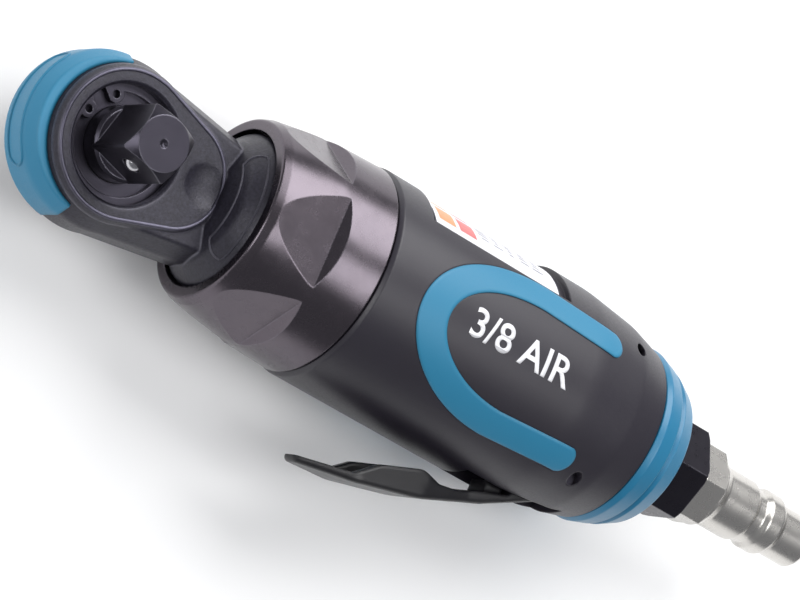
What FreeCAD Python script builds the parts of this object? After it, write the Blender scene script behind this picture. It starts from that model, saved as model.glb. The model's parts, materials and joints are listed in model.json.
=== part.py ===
import FreeCAD, Part
import math
import os

# Mini air ratchet with a 3/8 inch square drive, in millimetres.
# The tool axis runs along X, from the ratchet head to the hose plug.  The square drive points up, +Z.
# Everything below is laid out about the tool axis.  save() then lowers each piece, so that the
# origin of the finished part is on the drive axis, at the shoulder that a socket seats on.

V = FreeCAD.Vector
X_AXIS = V(1, 0, 0)
Y_AXIS = V(0, 1, 0)
Z_AXIS = V(0, 0, 1)
ORIGIN = V(0, 0, 0)

# ---------------------------------------------------------------- driving dimensions

# square drive and ratchet
SQUARE = 9.525              # across flats, 3/8 inch
SQUARE_LENGTH = 11.5
SHOULDER_Z = 6.2            # socket shoulder above the tool axis
SHOULDER_R = 6.4
DRUM_R = 7.4                # anvil drum that carries the pawl
RATCHET_TEETH = 72
TOOTH_TIP_R = 7.95
TOOTH_DEPTH = 0.5
YOKE_R = 9.8
YOKE_HEIGHT = 7.3
BALL_R = 1.6
BALL_DROP = 5.4             # ball centre below the end of the square
BALL_PROUD = 0.75
KNOB_SWING = 25.0
PAWL_SWING = 12.0
SWING = 360.0 / RATCHET_TEETH

# ratchet head
HEAD_R = 15.0
HEAD_FACE = 5.5
HEAD_BACK = -10.0
HEAD_FLOOR = -7.0           # floor of the ratchet chamber
LAND_R = 12.8
LAND_HEIGHT = 0.8
LAND_END_R = 9.6
LAND_END_X = 10.4
CHAMBER_R = 10.1
NECK_HALF_WIDTH = 12.4
NECK_X = 17.0
SHOULDER_IN = 2.4           # the head's shoulders slope in by this much
SHOULDER_DROP = 4.6         # over this height
BUMPER_THICKNESS = 2.0
BUMPER_TOP = 2.9
BUMPER_BOTTOM = -8.3
BUMPER_END_X = -3.8
BUMPER_END_THICKNESS = 0.45

# crank
CRANK_ARM_X = 14.0          # where the crank pin meets the yoke
CRANK_THROW = CRANK_ARM_X * math.sin(math.radians(SWING))
CRANK_PIN_R = 1.6
BUSHING_R = 2.6
BUSHING_HEIGHT = 4.0
CRANK_SHAFT_R = 5.0
CRANK_BEARING_R = 7.6

# stations along the tool axis
WEB_X = (20.6, 22.4)
BEARING_X = (22.7, 27.0)
COLLAR_X = (23.2, 46.5)
FLANGE_X = (26.0, 29.0)
RING_GEAR_X = (29.0, 38.0)
PLANET_X = (30.6, 36.4)
CARRIER_PLATE = 2.0
FRONT_PLATE_X = (39.6, 46.0)
CYLINDER_X = (46.0, 76.0)
REAR_PLATE_X = (76.0, 82.0)
BLOCK_X = 86.0              # valve block of the motor housing starts here
HOUSING_END = 111.0
DEFLECTOR_X = (112.0, 121.9)
HEX_X = (122.4, 131.0)
PLUG_X = 131.5

# clamp collar
COLLAR_R = (17.0, 19.7)
COLLAR_BORE = 16.4
COLLAR_LIP_R = 14.9
COLLAR_LIP = 2.6
COLLAR_FLAT = 17.5
COLLAR_FLAT_END = 36.2
NECK_R = 14.4
FLANGE_R = 16.2

# planetary gear
MODULE = 0.6
SUN_TEETH = 12
PLANET_TEETH = 15
RING_TEETH = SUN_TEETH + 2 * PLANET_TEETH
PLANETS = 3
PLANET_PIN_R = 1.5

# vane motor
HOUSING_R = 17.2
HOUSING_BORE = 14.9
CYLINDER_BORE = 12.2
ECCENTRICITY = 1.2
ROTOR_R = 10.8
ROTOR_SHAFT_R = 4.4
REAR_SHAFT_R = 3.0
VANES = 5
VANE_THICKNESS = 1.3
VANE_HEIGHT = 4.6

# throttle
PIVOT_X = 101.5
PIVOT_Y = -13.5
PIVOT_R = 1.25
VALVE_PIN_X = 93.8
VALVE_PIN_R = 1.3
VALVE_PIN_OUT = 18.6
STEM_R = 1.1
VALVE_DISC_R = 4.0
VALVE_DISC_X = 101.0
LEVER_WIDTH = 11.2
LEVER_WALL = 1.6
TONGUE_WIDTH = 8.4

# grip, deflector and inlet
GRIP_R = 20.1
GRIP_WALL_GAP = 0.1
LABEL_DEPTH = 1.1
LABEL_X = (55.5, 84.0)
LABEL_HALF_ANGLE = 46.0
LABEL_THICKNESS = 0.3
INLAY_DEPTH = 1.2
INLAY_PROUD = 0.15
DEFLECTOR_R = (17.3, 13.6)
SHANK_R = 9.0
THREAD_R = 7.5
HEX_FLATS = 17.0
PLUG_FLATS = 14.0
PLUG_THREAD_R = 6.2
AIR_BORE_R = 3.6

# clearances
RUN = 0.04                  # radial gap of a running fit
FREE = 0.3                  # gap between pieces that move past each other
SIDE = 0.1                  # end float


# ---------------------------------------------------------------- helpers

SPRING_STEPS = 24  # points on each turn of a spring
SPINDLE_FLATS = 2 * CRANK_SHAFT_R - 2.4
# heights inside the ratchet chamber, stacked up from its floor
WASHER = 0.8
YOKE_Z = (HEAD_FLOOR + WASHER + SIDE, HEAD_FLOOR + WASHER + SIDE + YOKE_HEIGHT)
FRONT_WASHER_Z = (YOKE_Z[1] + SIDE, YOKE_Z[1] + SIDE + WASHER)
CIRCLIP_Z = (FRONT_WASHER_Z[1] + SIDE, FRONT_WASHER_Z[1] + SIDE + 1.0)
CIRCLIP_GROOVE = 0.8
CIRCLIP_ANGLE = 142.0
CIRCLIP_LUG_ANGLE = 20.0
KNOB_R = 6.4
KNOB_STEM_R = 3.2
KNOB_PROUD = 1.4
KNOB_RIM = 0.8
KNOB_BAR = 2.0
FORK_GAP = CRANK_THROW * (1 + math.sin(math.radians(40))) + 0.15
FORK_WALL = 1.7
FORK_TOP = 3.4
FORK_END_X = CRANK_ARM_X + BUSHING_R + 0.4
DOME_X = 19.4
SCOOP_R = 9.0
SCOOP_X = 16.2
SCOOP_DEPTH = 1.0
SCOOP_Y = 0.6
WEB_R = 6.2
CARRIER_R = MODULE * (SUN_TEETH + PLANET_TEETH) / 2 + PLANET_PIN_R + 0.9
PAWL_PIN_X = 5.3
PAWL_PIN_R = 0.9
PAWL_Z = (YOKE_Z[0] + 1.6, YOKE_Z[1] - 1.6)
SQUARE_TURN = 75.0
BALL_ANGLE = 180.0 + SQUARE_TURN
BALL_Z = SHOULDER_Z + SQUARE_LENGTH - BALL_DROP
BALL_X = SQUARE / 2 - BALL_R + BALL_PROUD
BALL_BORE_END = -1.4
BALL_SPRING_SLACK = 0.35
CENTRE_DISTANCE = MODULE * (SUN_TEETH + PLANET_TEETH) / 2
CARRIER_X = (PLANET_X[0] - SIDE - CARRIER_PLATE - 0.4, PLANET_X[1] + SIDE + CARRIER_PLATE)
ADDENDUM = 0.8 * MODULE
DEDENDUM = 1.2 * MODULE
BACKLASH = 0.12
FRONT_BEARING_R = 9.5
FRONT_BEARING_X = (FRONT_PLATE_X[0], FRONT_PLATE_X[0] + 5.0)
REAR_BEARING_R = 7.5
REAR_BEARING_X = (REAR_PLATE_X[1] - 4.5, REAR_PLATE_X[1])
EXHAUST_SLOTS = 4
TAPER_X = 101.0
HOUSING_END_R = 14.4
LEVER_EYE_R = 3.0
LEVER_PIN_HALF = 12.2
VALVE_SEAT_X = (96.4, 100.0)
BUSHING_FRONT = 106.0
VALVE_SPRING_R = 3.0
LEVER_TIP_X = 54.6
LEVER_TIP_Y = -GRIP_R - 12.4
LEVER_WEB = 1.6
LEVER_BEND = (66.0, -GRIP_R - 11.1, 16.0)     # bends of the outer line: x, y, radius
LEVER_BELLY = (79.0, -GRIP_R - 8.2, 34.0)
LEVER_REAR = (91.8, -GRIP_R - 3.4)
HUMP_FRONT = (69.2, -GRIP_R - 6.1)            # thumb rest: where its top starts and ends
HUMP_BACK = (77.2, -GRIP_R - 3.3)
HUMP_FOOT = (81.5, -GRIP_R - 4.2)
WALL_END_Y = -GRIP_R - 1.9
LEVER_TIP_HALF = 1.9
LEVER_SPREAD = 11.0         # from the tip to the lever's full width
LEVER_EDGE = 0.9            # rounding of the lever's outer edges
U_APEX = 55.0
U_APEX_WIDTH = 6.2          # band width at the bow
U_BOW = 25.0                # length of the elliptic bow
U_MID = -1.0
U_HALF = 14.0
U_ARM = 4.4                 # band width along the arms
U_PULL = 0.8                # the arms close in by this much towards their ends
U_END = 96.5
MUFFLER_R = 13.0
STRAINER_R = 5.4
NOSE_X = 161.5


def save(shape, name):
    """Write one piece, moved from the tool axis to the part's own origin."""
    piece = shape.copy()
    piece.translate(V(0, 0, -SHOULDER_Z))
    piece.exportStep("parts/" + name + ".step")


def rod(x0, x1, radius, y=0.0, z=0.0):
    return Part.makeCylinder(radius, x1 - x0, V(x0, y, z), X_AXIS)


def tube(x0, x1, outer, inner, y=0.0, z=0.0):
    return rod(x0, x1, outer, y, z).cut(rod(x0 - 1, x1 + 1, inner, y, z))


def post(z0, z1, radius, x=0.0, y=0.0):
    return Part.makeCylinder(radius, z1 - z0, V(x, y, z0), Z_AXIS)


def block(x0, x1, y0, y1, z0, z1):
    return Part.makeBox(x1 - x0, y1 - y0, z1 - z0, V(x0, y0, z0))


def rounded_wire(points):
    """Closed wire through (a, b) or (a, b, radius) corners, in the XY plane."""
    corners = [tuple(p) + (0.0,) * (3 - len(p)) for p in points]
    count = len(corners)
    stops = []
    for i in range(count):
        here = V(corners[i][0], corners[i][1], 0)
        before = V(corners[i - 1][0], corners[i - 1][1], 0) - here
        after = V(corners[(i + 1) % count][0], corners[(i + 1) % count][1], 0) - here
        radius = corners[i][2]
        if radius <= 0:
            stops.append((here, None, here))
            continue
        before.normalize()
        after.normalize()
        half = before.getAngle(after) / 2
        reach = radius / math.tan(half)
        bisector = before + after
        bisector.normalize()
        middle = here + bisector * (radius / math.sin(half) - radius)
        stops.append((here + before * reach, middle, here + after * reach))
    edges = []
    for i in range(count):
        start, middle, end = stops[i]
        if middle is not None:
            edges.append(Part.Arc(start, middle, end).toShape())
        following = stops[(i + 1) % count][0]
        if end.distanceToPoint(following) > 1e-6:
            edges.append(Part.LineSegment(end, following).toShape())
    return Part.Wire(edges)


def turned(points):
    """Solid turned about the tool axis from (x, radius) corners."""
    face = Part.Face(rounded_wire(points))
    return face.revolve(ORIGIN, X_AXIS, 360)


def turned_upright(points):
    """Solid turned about the drive axis from (radius, z) corners."""
    face = Part.Face(rounded_wire(points))
    face.rotate(ORIGIN, X_AXIS, 90)
    return face.revolve(ORIGIN, Z_AXIS, 360)


def prism(wire, z0, z1):
    """Wire in the XY plane made solid between two heights."""
    base = wire.copy()
    base.translate(V(0, 0, z0))
    return Part.Face(base).extrude(V(0, 0, z1 - z0))


def along_x(shape, x):
    """Turn a shape built on +Z so that it runs along the tool axis from x."""
    turned_shape = shape.copy()
    turned_shape.rotate(ORIGIN, Y_AXIS, 90)
    turned_shape.translate(V(x, 0, 0))
    return turned_shape


def hexagon(x0, x1, across_flats):
    radius = across_flats / math.sqrt(3)
    corners = [(radius * math.cos(math.radians(60 * i)), radius * math.sin(math.radians(60 * i)))
               for i in range(6)]
    return along_x(prism(rounded_wire(corners), 0, x1 - x0), x0)


def chamfered_hexagon(x0, x1, across_flats, chamfer):
    corner_r = across_flats / math.sqrt(3)
    envelope = turned([(x0, 0), (x0, corner_r - chamfer), (x0 + chamfer * 0.6, corner_r),
                       (x1 - chamfer * 0.6, corner_r), (x1, corner_r - chamfer), (x1, 0)])
    return hexagon(x0, x1, across_flats).common(envelope)


def spring(radius, wire_r, length, turns):
    """Compression spring on +Z from the origin."""
    rise = length - 2 * wire_r
    steps = turns * SPRING_STEPS
    points = []
    for i in range(steps + 1):
        angle = 2 * math.pi * i / SPRING_STEPS
        points.append(V(radius * math.cos(angle), radius * math.sin(angle), rise * i / steps))
    line = Part.BSplineCurve()
    line.interpolate(points)
    forward = V(0, 2 * math.pi * radius, rise / turns)
    section = Part.Wire(Part.makeCircle(wire_r, points[0], forward))
    coil = Part.Wire(line.toShape()).makePipeShell([section], True, True)
    coil.translate(V(0, 0, wire_r))
    return coil


def involute(angle):
    return math.tan(angle) - angle


def gear_wire(teeth, addendum, dedendum, thinning):
    """Outline of an involute gear; thinning narrows each tooth at the pitch circle."""
    pressure = math.radians(25)
    pitch_r = MODULE * teeth / 2
    base_r = pitch_r * math.cos(pressure)
    root_r = pitch_r - dedendum
    tip_r = pitch_r + addendum
    half_tooth = math.pi / (2 * teeth) - thinning / (2 * pitch_r)
    low_r = max(root_r, base_r)
    steps = 5
    flank = []
    for i in range(steps + 1):
        r = low_r + (tip_r - low_r) * i / steps
        angle = half_tooth + involute(pressure) - involute(math.acos(min(1.0, base_r / r)))
        flank.append((r, angle))
    points = []
    for k in range(teeth):
        centre = 2 * math.pi * k / teeth
        ring = [(root_r, -flank[0][1])] + [(r, -a) for r, a in flank]
        ring += [(r, a) for r, a in reversed(flank)] + [(root_r, flank[0][1])]
        for r, a in ring:
            points.append(V(r * math.cos(centre + a), r * math.sin(centre + a), 0))
    clean = [points[0]]
    for p in points[1:]:
        if p.distanceToPoint(clean[-1]) > 1e-4:
            clean.append(p)
    clean.append(clean[0])
    return Part.makePolygon(clean)


def ratchet_ring(tip_r, depth, outer_r, z0, z1):
    """Ring with pointed teeth on the inside."""
    points = []
    for k in range(RATCHET_TEETH):
        for share, r in ((0.0, tip_r), (0.5, tip_r + depth)):
            angle = 2 * math.pi * (k + share) / RATCHET_TEETH
            points.append((r * math.cos(angle), r * math.sin(angle)))
    opening = prism(rounded_wire(points), z0 - 1, z1 + 1)
    return post(z0, z1, outer_r).cut(opening)


# ---------------------------------------------------------------- ratchet head

def egg_wire(grow):
    """Outline of the raised land: a round end joined to a smaller round end by tangents."""
    big = LAND_R + grow
    small = LAND_END_R + grow
    lean = math.acos((big - small) / LAND_END_X)
    big_point = V(big * math.cos(lean), big * math.sin(lean), 0)
    small_point = V(LAND_END_X + small * math.cos(lean), small * math.sin(lean), 0)
    mirror_big = V(big_point.x, -big_point.y, 0)
    mirror_small = V(small_point.x, -small_point.y, 0)
    return Part.Wire([
        Part.Arc(big_point, V(-big, 0, 0), mirror_big).toShape(),
        Part.LineSegment(mirror_big, mirror_small).toShape(),
        Part.Arc(mirror_small, V(LAND_END_X + small, 0, 0), small_point).toShape(),
        Part.LineSegment(small_point, big_point).toShape(),
    ])


def flank_profile(half_width):
    """Right half of the head's cross-section, as (distance, z) corners."""
    top = HEAD_FACE - LAND_HEIGHT
    return [(half_width - SHOULDER_IN, top, 1.0), (half_width, top - SHOULDER_DROP, 3.0),
            (half_width, HEAD_BACK + 3.0, 2.0), (half_width - 3.0, HEAD_BACK, 2.0)]


def head_section(x, half_width):
    right = flank_profile(half_width)
    left = [(-a, b, r) for a, b, r in reversed(right)]
    wire = rounded_wire(right + left)
    wire.rotate(ORIGIN, X_AXIS, 90)
    wire.rotate(ORIGIN, Z_AXIS, 90)
    wire.translate(V(x, 0, 0))
    return wire


def neck_passage():
    """Room for the yoke's fork and the crank pin, between the chamber and the crank web."""
    fork_half = BUSHING_R + FORK_GAP + FORK_WALL
    lean = math.sin(math.radians(SWING))
    half = fork_half + FORK_END_X * lean + FREE
    fork_room = block(0, FORK_END_X + fork_half * lean + FREE, -half, half, HEAD_FLOOR, FORK_TOP + FREE)
    pin_room = rod(CRANK_ARM_X, WEB_X[0], CRANK_THROW + CRANK_PIN_R + FREE)
    return fork_room.fuse(pin_room)


def head_tip(radius):
    """Round end of the head about the drive axis."""
    return turned_upright([(0, HEAD_BACK)] + list(reversed(flank_profile(radius)))
                          + [(0, HEAD_FACE - LAND_HEIGHT)])


def head_solid():
    """Outside of the forged head, before it is machined."""
    top = HEAD_FACE - LAND_HEIGHT
    tip = head_tip(HEAD_R)
    taper = Part.makeLoft([head_section(0, HEAD_R), head_section(NECK_X, NECK_HALF_WIDTH)], True, True)
    run_in = Part.makeLoft([head_section(NECK_X, NECK_HALF_WIDTH),
                            head_section(COLLAR_X[0], NECK_HALF_WIDTH - 1.0)], True, True)
    land_foot = egg_wire(0.7)
    land_foot.translate(V(0, 0, top - 0.6))
    land_top = egg_wire(0)
    land_top.translate(V(0, 0, HEAD_FACE))
    land = Part.makeLoft([land_foot, land_top], True, True)
    dome = turned([(DOME_X, 0), (DOME_X, 7.2, 1.2), (DOME_X + 1.6, 11.4, 3.0), (COLLAR_X[0] + 0.6, NECK_R, 1.2),
                   (FLANGE_X[0], NECK_R), (FLANGE_X[0], FLANGE_R), (FLANGE_X[1], FLANGE_R),
                   (FLANGE_X[1], 0)])
    return tip.fuse([taper, run_in, land, dome]).removeSplitter()


def ratchet_head():
    ball = Part.makeSphere(SCOOP_R, V(SCOOP_X, SCOOP_Y, HEAD_FACE - SCOOP_DEPTH + SCOOP_R))
    scoop = ball.common(block(CHAMBER_R, DOME_X - SIDE, -SCOOP_R, SCOOP_R, 0, HEAD_FACE + 1))
    chamber = post(HEAD_FLOOR, HEAD_FACE + 1, CHAMBER_R)
    groove = post(CIRCLIP_Z[0] - SIDE, CIRCLIP_Z[1] + SIDE, CHAMBER_R + CIRCLIP_GROOVE)
    knob_hole = post(HEAD_BACK - 1, HEAD_FLOOR + 1, KNOB_R + FREE)
    bearing_seat = rod(BEARING_X[0], BEARING_X[1], CRANK_BEARING_R)
    web_room = rod(WEB_X[0] - FREE, BEARING_X[0], WEB_R + FREE)
    carrier_room = rod(BEARING_X[1], FLANGE_X[1] + 1, CARRIER_R + FREE)
    lead_in = turned_upright([(0, HEAD_FACE + 1), (CHAMBER_R + 1.6, HEAD_FACE + 1),
                              (CHAMBER_R, HEAD_FACE - 0.6), (0, HEAD_FACE - 0.6)])
    return head_solid().cut([scoop, chamber, groove, knob_hole, bearing_seat, web_room, carrier_room,
                     lead_in, neck_passage()])


def head_bumper():
    """Soft guard: thick at the tip and thin at its ends, so its outside has a smaller radius."""
    end = -BUMPER_END_X
    tip = HEAD_R + BUMPER_THICKNESS
    side = math.sqrt((HEAD_R + BUMPER_END_THICKNESS) ** 2 - end ** 2)
    # circle through the tip and both ends: (end + c)^2 + side^2 = (tip + c)^2
    centre = (end ** 2 + side ** 2 - tip ** 2) / (2 * (tip - end))
    radius = tip + centre
    shoulder = HEAD_FACE - LAND_HEIGHT - SHOULDER_DROP
    lean = SHOULDER_IN / SHOULDER_DROP
    outer = turned_upright([(0, BUMPER_BOTTOM), (radius - 1.2, BUMPER_BOTTOM, 0.4),
                            (radius, BUMPER_BOTTOM + 2.2, 2.0), (radius, shoulder, 2.6),
                            (radius - (BUMPER_TOP - shoulder) * lean, BUMPER_TOP), (0, BUMPER_TOP)])
    outer.translate(V(centre, 0, 0))
    inner_r = HEAD_R + RUN
    inner = turned_upright([(0, HEAD_BACK), (inner_r, HEAD_BACK), (inner_r, shoulder),
                            (inner_r - SHOULDER_IN, shoulder + SHOULDER_DROP), (0, shoulder + SHOULDER_DROP)])
    keep = block(-tip - 1, BUMPER_END_X, -tip, tip, HEAD_BACK, HEAD_FACE)
    return outer.common(keep).cut(inner)


def head_circlip():
    outer = CHAMBER_R + CIRCLIP_GROOVE - SIDE
    ring = post(CIRCLIP_Z[0], CIRCLIP_Z[1], outer).cut(
        post(CIRCLIP_Z[0] - 1, CIRCLIP_Z[1] + 1, CHAMBER_R - 1.3))
    lugs = []
    holes = []
    for offset in (-CIRCLIP_LUG_ANGLE, CIRCLIP_LUG_ANGLE):
        angle = math.radians(CIRCLIP_ANGLE + offset)
        x = (CHAMBER_R - 1.75) * math.cos(angle)
        y = (CHAMBER_R - 1.75) * math.sin(angle)
        lugs.append(post(CIRCLIP_Z[0], CIRCLIP_Z[1], 1.5, x, y))
        holes.append(post(CIRCLIP_Z[0] - 1, CIRCLIP_Z[1] + 1, 0.7, x, y))
    gap = block(0, 20, -1.4, 1.4, CIRCLIP_Z[0] - 1, CIRCLIP_Z[1] + 1)
    gap.rotate(ORIGIN, Z_AXIS, CIRCLIP_ANGLE)
    keep_in = post(CIRCLIP_Z[0] - 1, CIRCLIP_Z[1] + 1, outer)
    return ring.cut(gap).fuse(lugs).common(keep_in).cut(holes).cut(gap).removeSplitter()


def washer_upright(z0, z1, outer, inner):
    return post(z0, z1, outer).cut(post(z0 - 1, z1 + 1, inner))


def pawl_blank():
    """Rocker before its teeth are cut: a thick arc round the drive axis, with a pivot eye."""
    outer = post(PAWL_Z[0] + SIDE, PAWL_Z[1] - SIDE, DRUM_R + 0.25)
    inner = post(PAWL_Z[0] - 1, PAWL_Z[1] + 1, KNOB_STEM_R + 0.5)
    sector = prism(rounded_wire([(PAWL_PIN_X - 2.2, -1.6), (10, -9.2), (10, 9.2), (PAWL_PIN_X - 2.2, 1.6)]),
                   PAWL_Z[0] - 1, PAWL_Z[1] + 1)
    return outer.cut(inner).common(sector)


def plunger_shape(grow):
    tip = PAWL_PIN_X - PAWL_PIN_R - 1.1
    z = (PAWL_Z[0] + PAWL_Z[1]) / 2
    stem = Part.makeCylinder(0.8 + grow, tip - 1.4, V(1.4, 0, z), X_AXIS)
    nose = Part.makeSphere(0.8 + grow, V(tip, 0, z))
    return stem.fuse(nose)


def pawl():
    """Rocker pawl, relieved so that it clears the ring teeth and the plunger over its swing."""
    shape = pawl_blank()
    pivot = V(PAWL_PIN_X, 0, 0)
    teeth = ratchet_ring(TOOTH_TIP_R - 0.1, TOOTH_DEPTH, TOOTH_TIP_R + 3, PAWL_Z[0] - 1, PAWL_Z[1] + 1)
    teeth = teeth.common(block(1, 12, -10, 10, PAWL_Z[0] - 1, PAWL_Z[1] + 1))
    stem = post(PAWL_Z[0] - 1, PAWL_Z[1] + 1, KNOB_STEM_R + 0.2)
    for step in range(-6, 7):
        share = step / 6.0
        shape.rotate(pivot, Z_AXIS, -share * PAWL_SWING)
        finger = plunger_shape(0.15)
        finger.rotate(ORIGIN, Z_AXIS, share * KNOB_SWING)
        shape = shape.cut([teeth, finger, stem])
        shape.rotate(pivot, Z_AXIS, share * PAWL_SWING)
    hole = post(PAWL_Z[0] - 1, PAWL_Z[1] + 1, PAWL_PIN_R + RUN, PAWL_PIN_X)
    shape = shape.cut(hole)
    return max(shape.Solids, key=lambda solid: solid.Volume)


def anvil():
    top = SHOULDER_Z + SQUARE_LENGTH
    drum = turned_upright([(0, YOKE_Z[0]), (DRUM_R - 0.5, YOKE_Z[0]), (DRUM_R, YOKE_Z[0] + 0.5),
                           (DRUM_R, YOKE_Z[1]), (SHOULDER_R, YOKE_Z[1]), (SHOULDER_R, SHOULDER_Z - 0.5),
                           (SHOULDER_R - 0.5, SHOULDER_Z), (0, SHOULDER_Z)])
    half = SQUARE / 2
    square = prism(rounded_wire([(-half, -half, 0.5), (half, -half, 0.5), (half, half, 0.5),
                                 (-half, half, 0.5)]), SHOULDER_Z - 1, top)
    corner_cone = turned_upright([(0, SHOULDER_Z - 1), (half * 1.5, SHOULDER_Z - 1),
                                  (half * 1.5, top - 2.2), (half - 0.05, top), (0, top)])
    square = square.common(corner_cone)
    square.rotate(ORIGIN, Z_AXIS, SQUARE_TURN)
    body = drum.fuse(square)
    centre_mark = Part.makeCone(0.0, 0.8, 0.5, V(0, 0, top - 0.5), Z_AXIS)
    knob_bore = post(YOKE_Z[0] - 1, PAWL_Z[1], KNOB_STEM_R + RUN)
    knob_head = post(YOKE_Z[0] - 1, YOKE_Z[0], KNOB_R + FREE)
    opening = prism(rounded_wire([(0, -4.6), (12, -10.8), (12, 10.8), (0, 4.6)]), PAWL_Z[0], PAWL_Z[1])
    pin_hole = post(YOKE_Z[0] - 1, PAWL_Z[1] + 1.2, PAWL_PIN_R, PAWL_PIN_X)
    return body.cut([centre_mark, knob_bore, knob_head, opening, pin_hole, ball_hole()])


def toward_ball(shape):
    """Turn a shape laid along +X so that it points out of the ball's side of the square."""
    moved = shape.copy()
    moved.translate(V(0, 0, BALL_Z))
    moved.rotate(ORIGIN, Z_AXIS, BALL_ANGLE)
    return moved


def ball_hole():
    bore = rod(BALL_BORE_END, SQUARE, BALL_R + RUN)
    return toward_ball(bore)


def detent_ball():
    return toward_ball(Part.makeSphere(BALL_R, V(BALL_X, 0, 0)))


def detent_spring():
    """Held at the bottom of its bore, and short enough to clear the ball when that is pressed in."""
    room = BALL_X - BALL_R - BALL_BORE_END - 2 * SIDE
    coil = spring(BALL_R - 0.6, 0.2, room - BALL_SPRING_SLACK, 4)
    return toward_ball(along_x(coil, BALL_BORE_END + SIDE))


def ratchet_yoke():
    ring = ratchet_ring(TOOTH_TIP_R, TOOTH_DEPTH, YOKE_R, YOKE_Z[0], YOKE_Z[1])
    half = BUSHING_R + FORK_GAP + FORK_WALL
    reach = FORK_END_X
    waist = prism(rounded_wire([(6, -7.6), (reach - 3, -half, 1.0), (reach, -half, 0.6), (reach, half, 0.6),
                                (reach - 3, half, 1.0), (6, 7.6)]), YOKE_Z[0], FORK_TOP)
    low_part = block(0, CHAMBER_R + CIRCLIP_GROOVE + 2 * FREE, -20, 20, YOKE_Z[1], FORK_TOP + 1)
    waist = waist.cut([low_part, post(YOKE_Z[0] - 1, FORK_TOP + 1, YOKE_R - 0.4)])
    slot_half = BUSHING_R + FORK_GAP
    slot = block(CRANK_ARM_X - BUSHING_R - 0.5, reach + 1, -slot_half, slot_half, -20, 20)
    return ring.fuse(waist).cut(slot).removeSplitter()


def reverse_knob():
    low = HEAD_BACK - KNOB_PROUD
    disc = turned_upright([(0, low), (KNOB_R - 0.8, low), (KNOB_R, low + 0.8), (KNOB_R, HEAD_FLOOR + SIDE),
                           (KNOB_R + KNOB_RIM, HEAD_FLOOR + SIDE), (KNOB_R + KNOB_RIM, YOKE_Z[0] - SIDE),
                           (0, YOKE_Z[0] - SIDE)])
    bar_end = KNOB_R - 1
    thumb_bar = prism(rounded_wire([(-bar_end, -1.5, 1.0), (bar_end, -1.5, 1.0), (bar_end, 1.5, 1.0),
                                    (-bar_end, 1.5, 1.0)]), low - KNOB_BAR, low + 0.5)
    stem = post(YOKE_Z[0] - 1, PAWL_Z[1] - SIDE, KNOB_STEM_R)
    plunger_bore = Part.makeCylinder(0.8 + RUN, 8, V(-1.6, 0, (PAWL_Z[0] + PAWL_Z[1]) / 2), X_AXIS)
    return disc.fuse([thumb_bar, stem]).cut(plunger_bore).removeSplitter()


def pawl_pin():
    return post(YOKE_Z[0] + SIDE, PAWL_Z[1] + 1.1, PAWL_PIN_R, PAWL_PIN_X)


def pawl_spring():
    z = (PAWL_Z[0] + PAWL_Z[1]) / 2
    coil = along_x(spring(0.5, 0.12, 2.7, 6), -1.5)
    coil.translate(V(0, 0, z))
    return coil


# ---------------------------------------------------------------- crank and reduction gear

def drive_bushing():
    """Barrel that turns the crank pin's circle into the yoke's swing."""
    z = CRANK_THROW
    barrel = post(z - BUSHING_HEIGHT / 2, z + BUSHING_HEIGHT / 2, BUSHING_R, CRANK_ARM_X)
    return barrel.cut(rod(0, 40, CRANK_PIN_R + RUN, 0, z))


def crankshaft():
    pin = rod(CRANK_ARM_X - BUSHING_R + 0.2, WEB_X[0] + 0.5, CRANK_PIN_R, 0, CRANK_THROW)
    web = turned([(WEB_X[0], 0), (WEB_X[0], WEB_R - 0.6), (WEB_X[0] + 0.6, WEB_R), (WEB_X[1], WEB_R),
                  (WEB_X[1], CRANK_SHAFT_R), (BEARING_X[1] + SIDE, CRANK_SHAFT_R), (BEARING_X[1] + SIDE, 0)])
    spindle = hexagon(BEARING_X[1], CARRIER_X[0] + CARRIER_PLATE, SPINDLE_FLATS)
    return web.fuse([pin, spindle]).removeSplitter()


def planet_angles():
    return [360.0 * k / PLANETS for k in range(PLANETS)]


def planet_place(shape, angle):
    """Move a shape built on +Z about its own axis to a planet's place."""
    moved = shape.copy()
    moved.translate(V(CENTRE_DISTANCE, 0, 0))
    moved.rotate(ORIGIN, Z_AXIS, angle)
    return moved


def planet_gear(angle):
    width = PLANET_X[1] - PLANET_X[0]
    gear = prism(gear_wire(PLANET_TEETH, ADDENDUM, DEDENDUM, BACKLASH), 0, width)
    gear = gear.cut(Part.makeCylinder(PLANET_PIN_R + RUN, width + 2, V(0, 0, -1)))
    return along_x(planet_place(gear, angle), PLANET_X[0])


def planet_pins():
    length = CARRIER_X[1] - CARRIER_X[0] - 0.4
    pin = Part.makeCylinder(PLANET_PIN_R, length)
    pins = [planet_place(pin, angle) for angle in planet_angles()]
    return along_x(Part.makeCompound(pins), CARRIER_X[0] + 0.2)


def planet_carrier():
    front = rod(CARRIER_X[0], CARRIER_X[0] + CARRIER_PLATE + 0.4, CARRIER_R)
    back = tube(CARRIER_X[1] - CARRIER_PLATE, CARRIER_X[1], CARRIER_R, ROTOR_SHAFT_R + FREE)
    pillars = []
    for angle in planet_angles():
        pillar = Part.makeCylinder(1.6, CARRIER_X[1] - CARRIER_X[0] - 1)
        pillar.translate(V(CARRIER_R - 1.7, 0, 0))
        pillar.rotate(ORIGIN, Z_AXIS, angle + 180.0 / PLANETS)
        pillars.append(along_x(pillar, CARRIER_X[0] + 0.5))
    socket = hexagon(CARRIER_X[0] - 1, CARRIER_X[0] + CARRIER_PLATE, SPINDLE_FLATS)
    return front.fuse([back] + pillars).cut([socket, planet_pins()]).removeSplitter()


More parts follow.
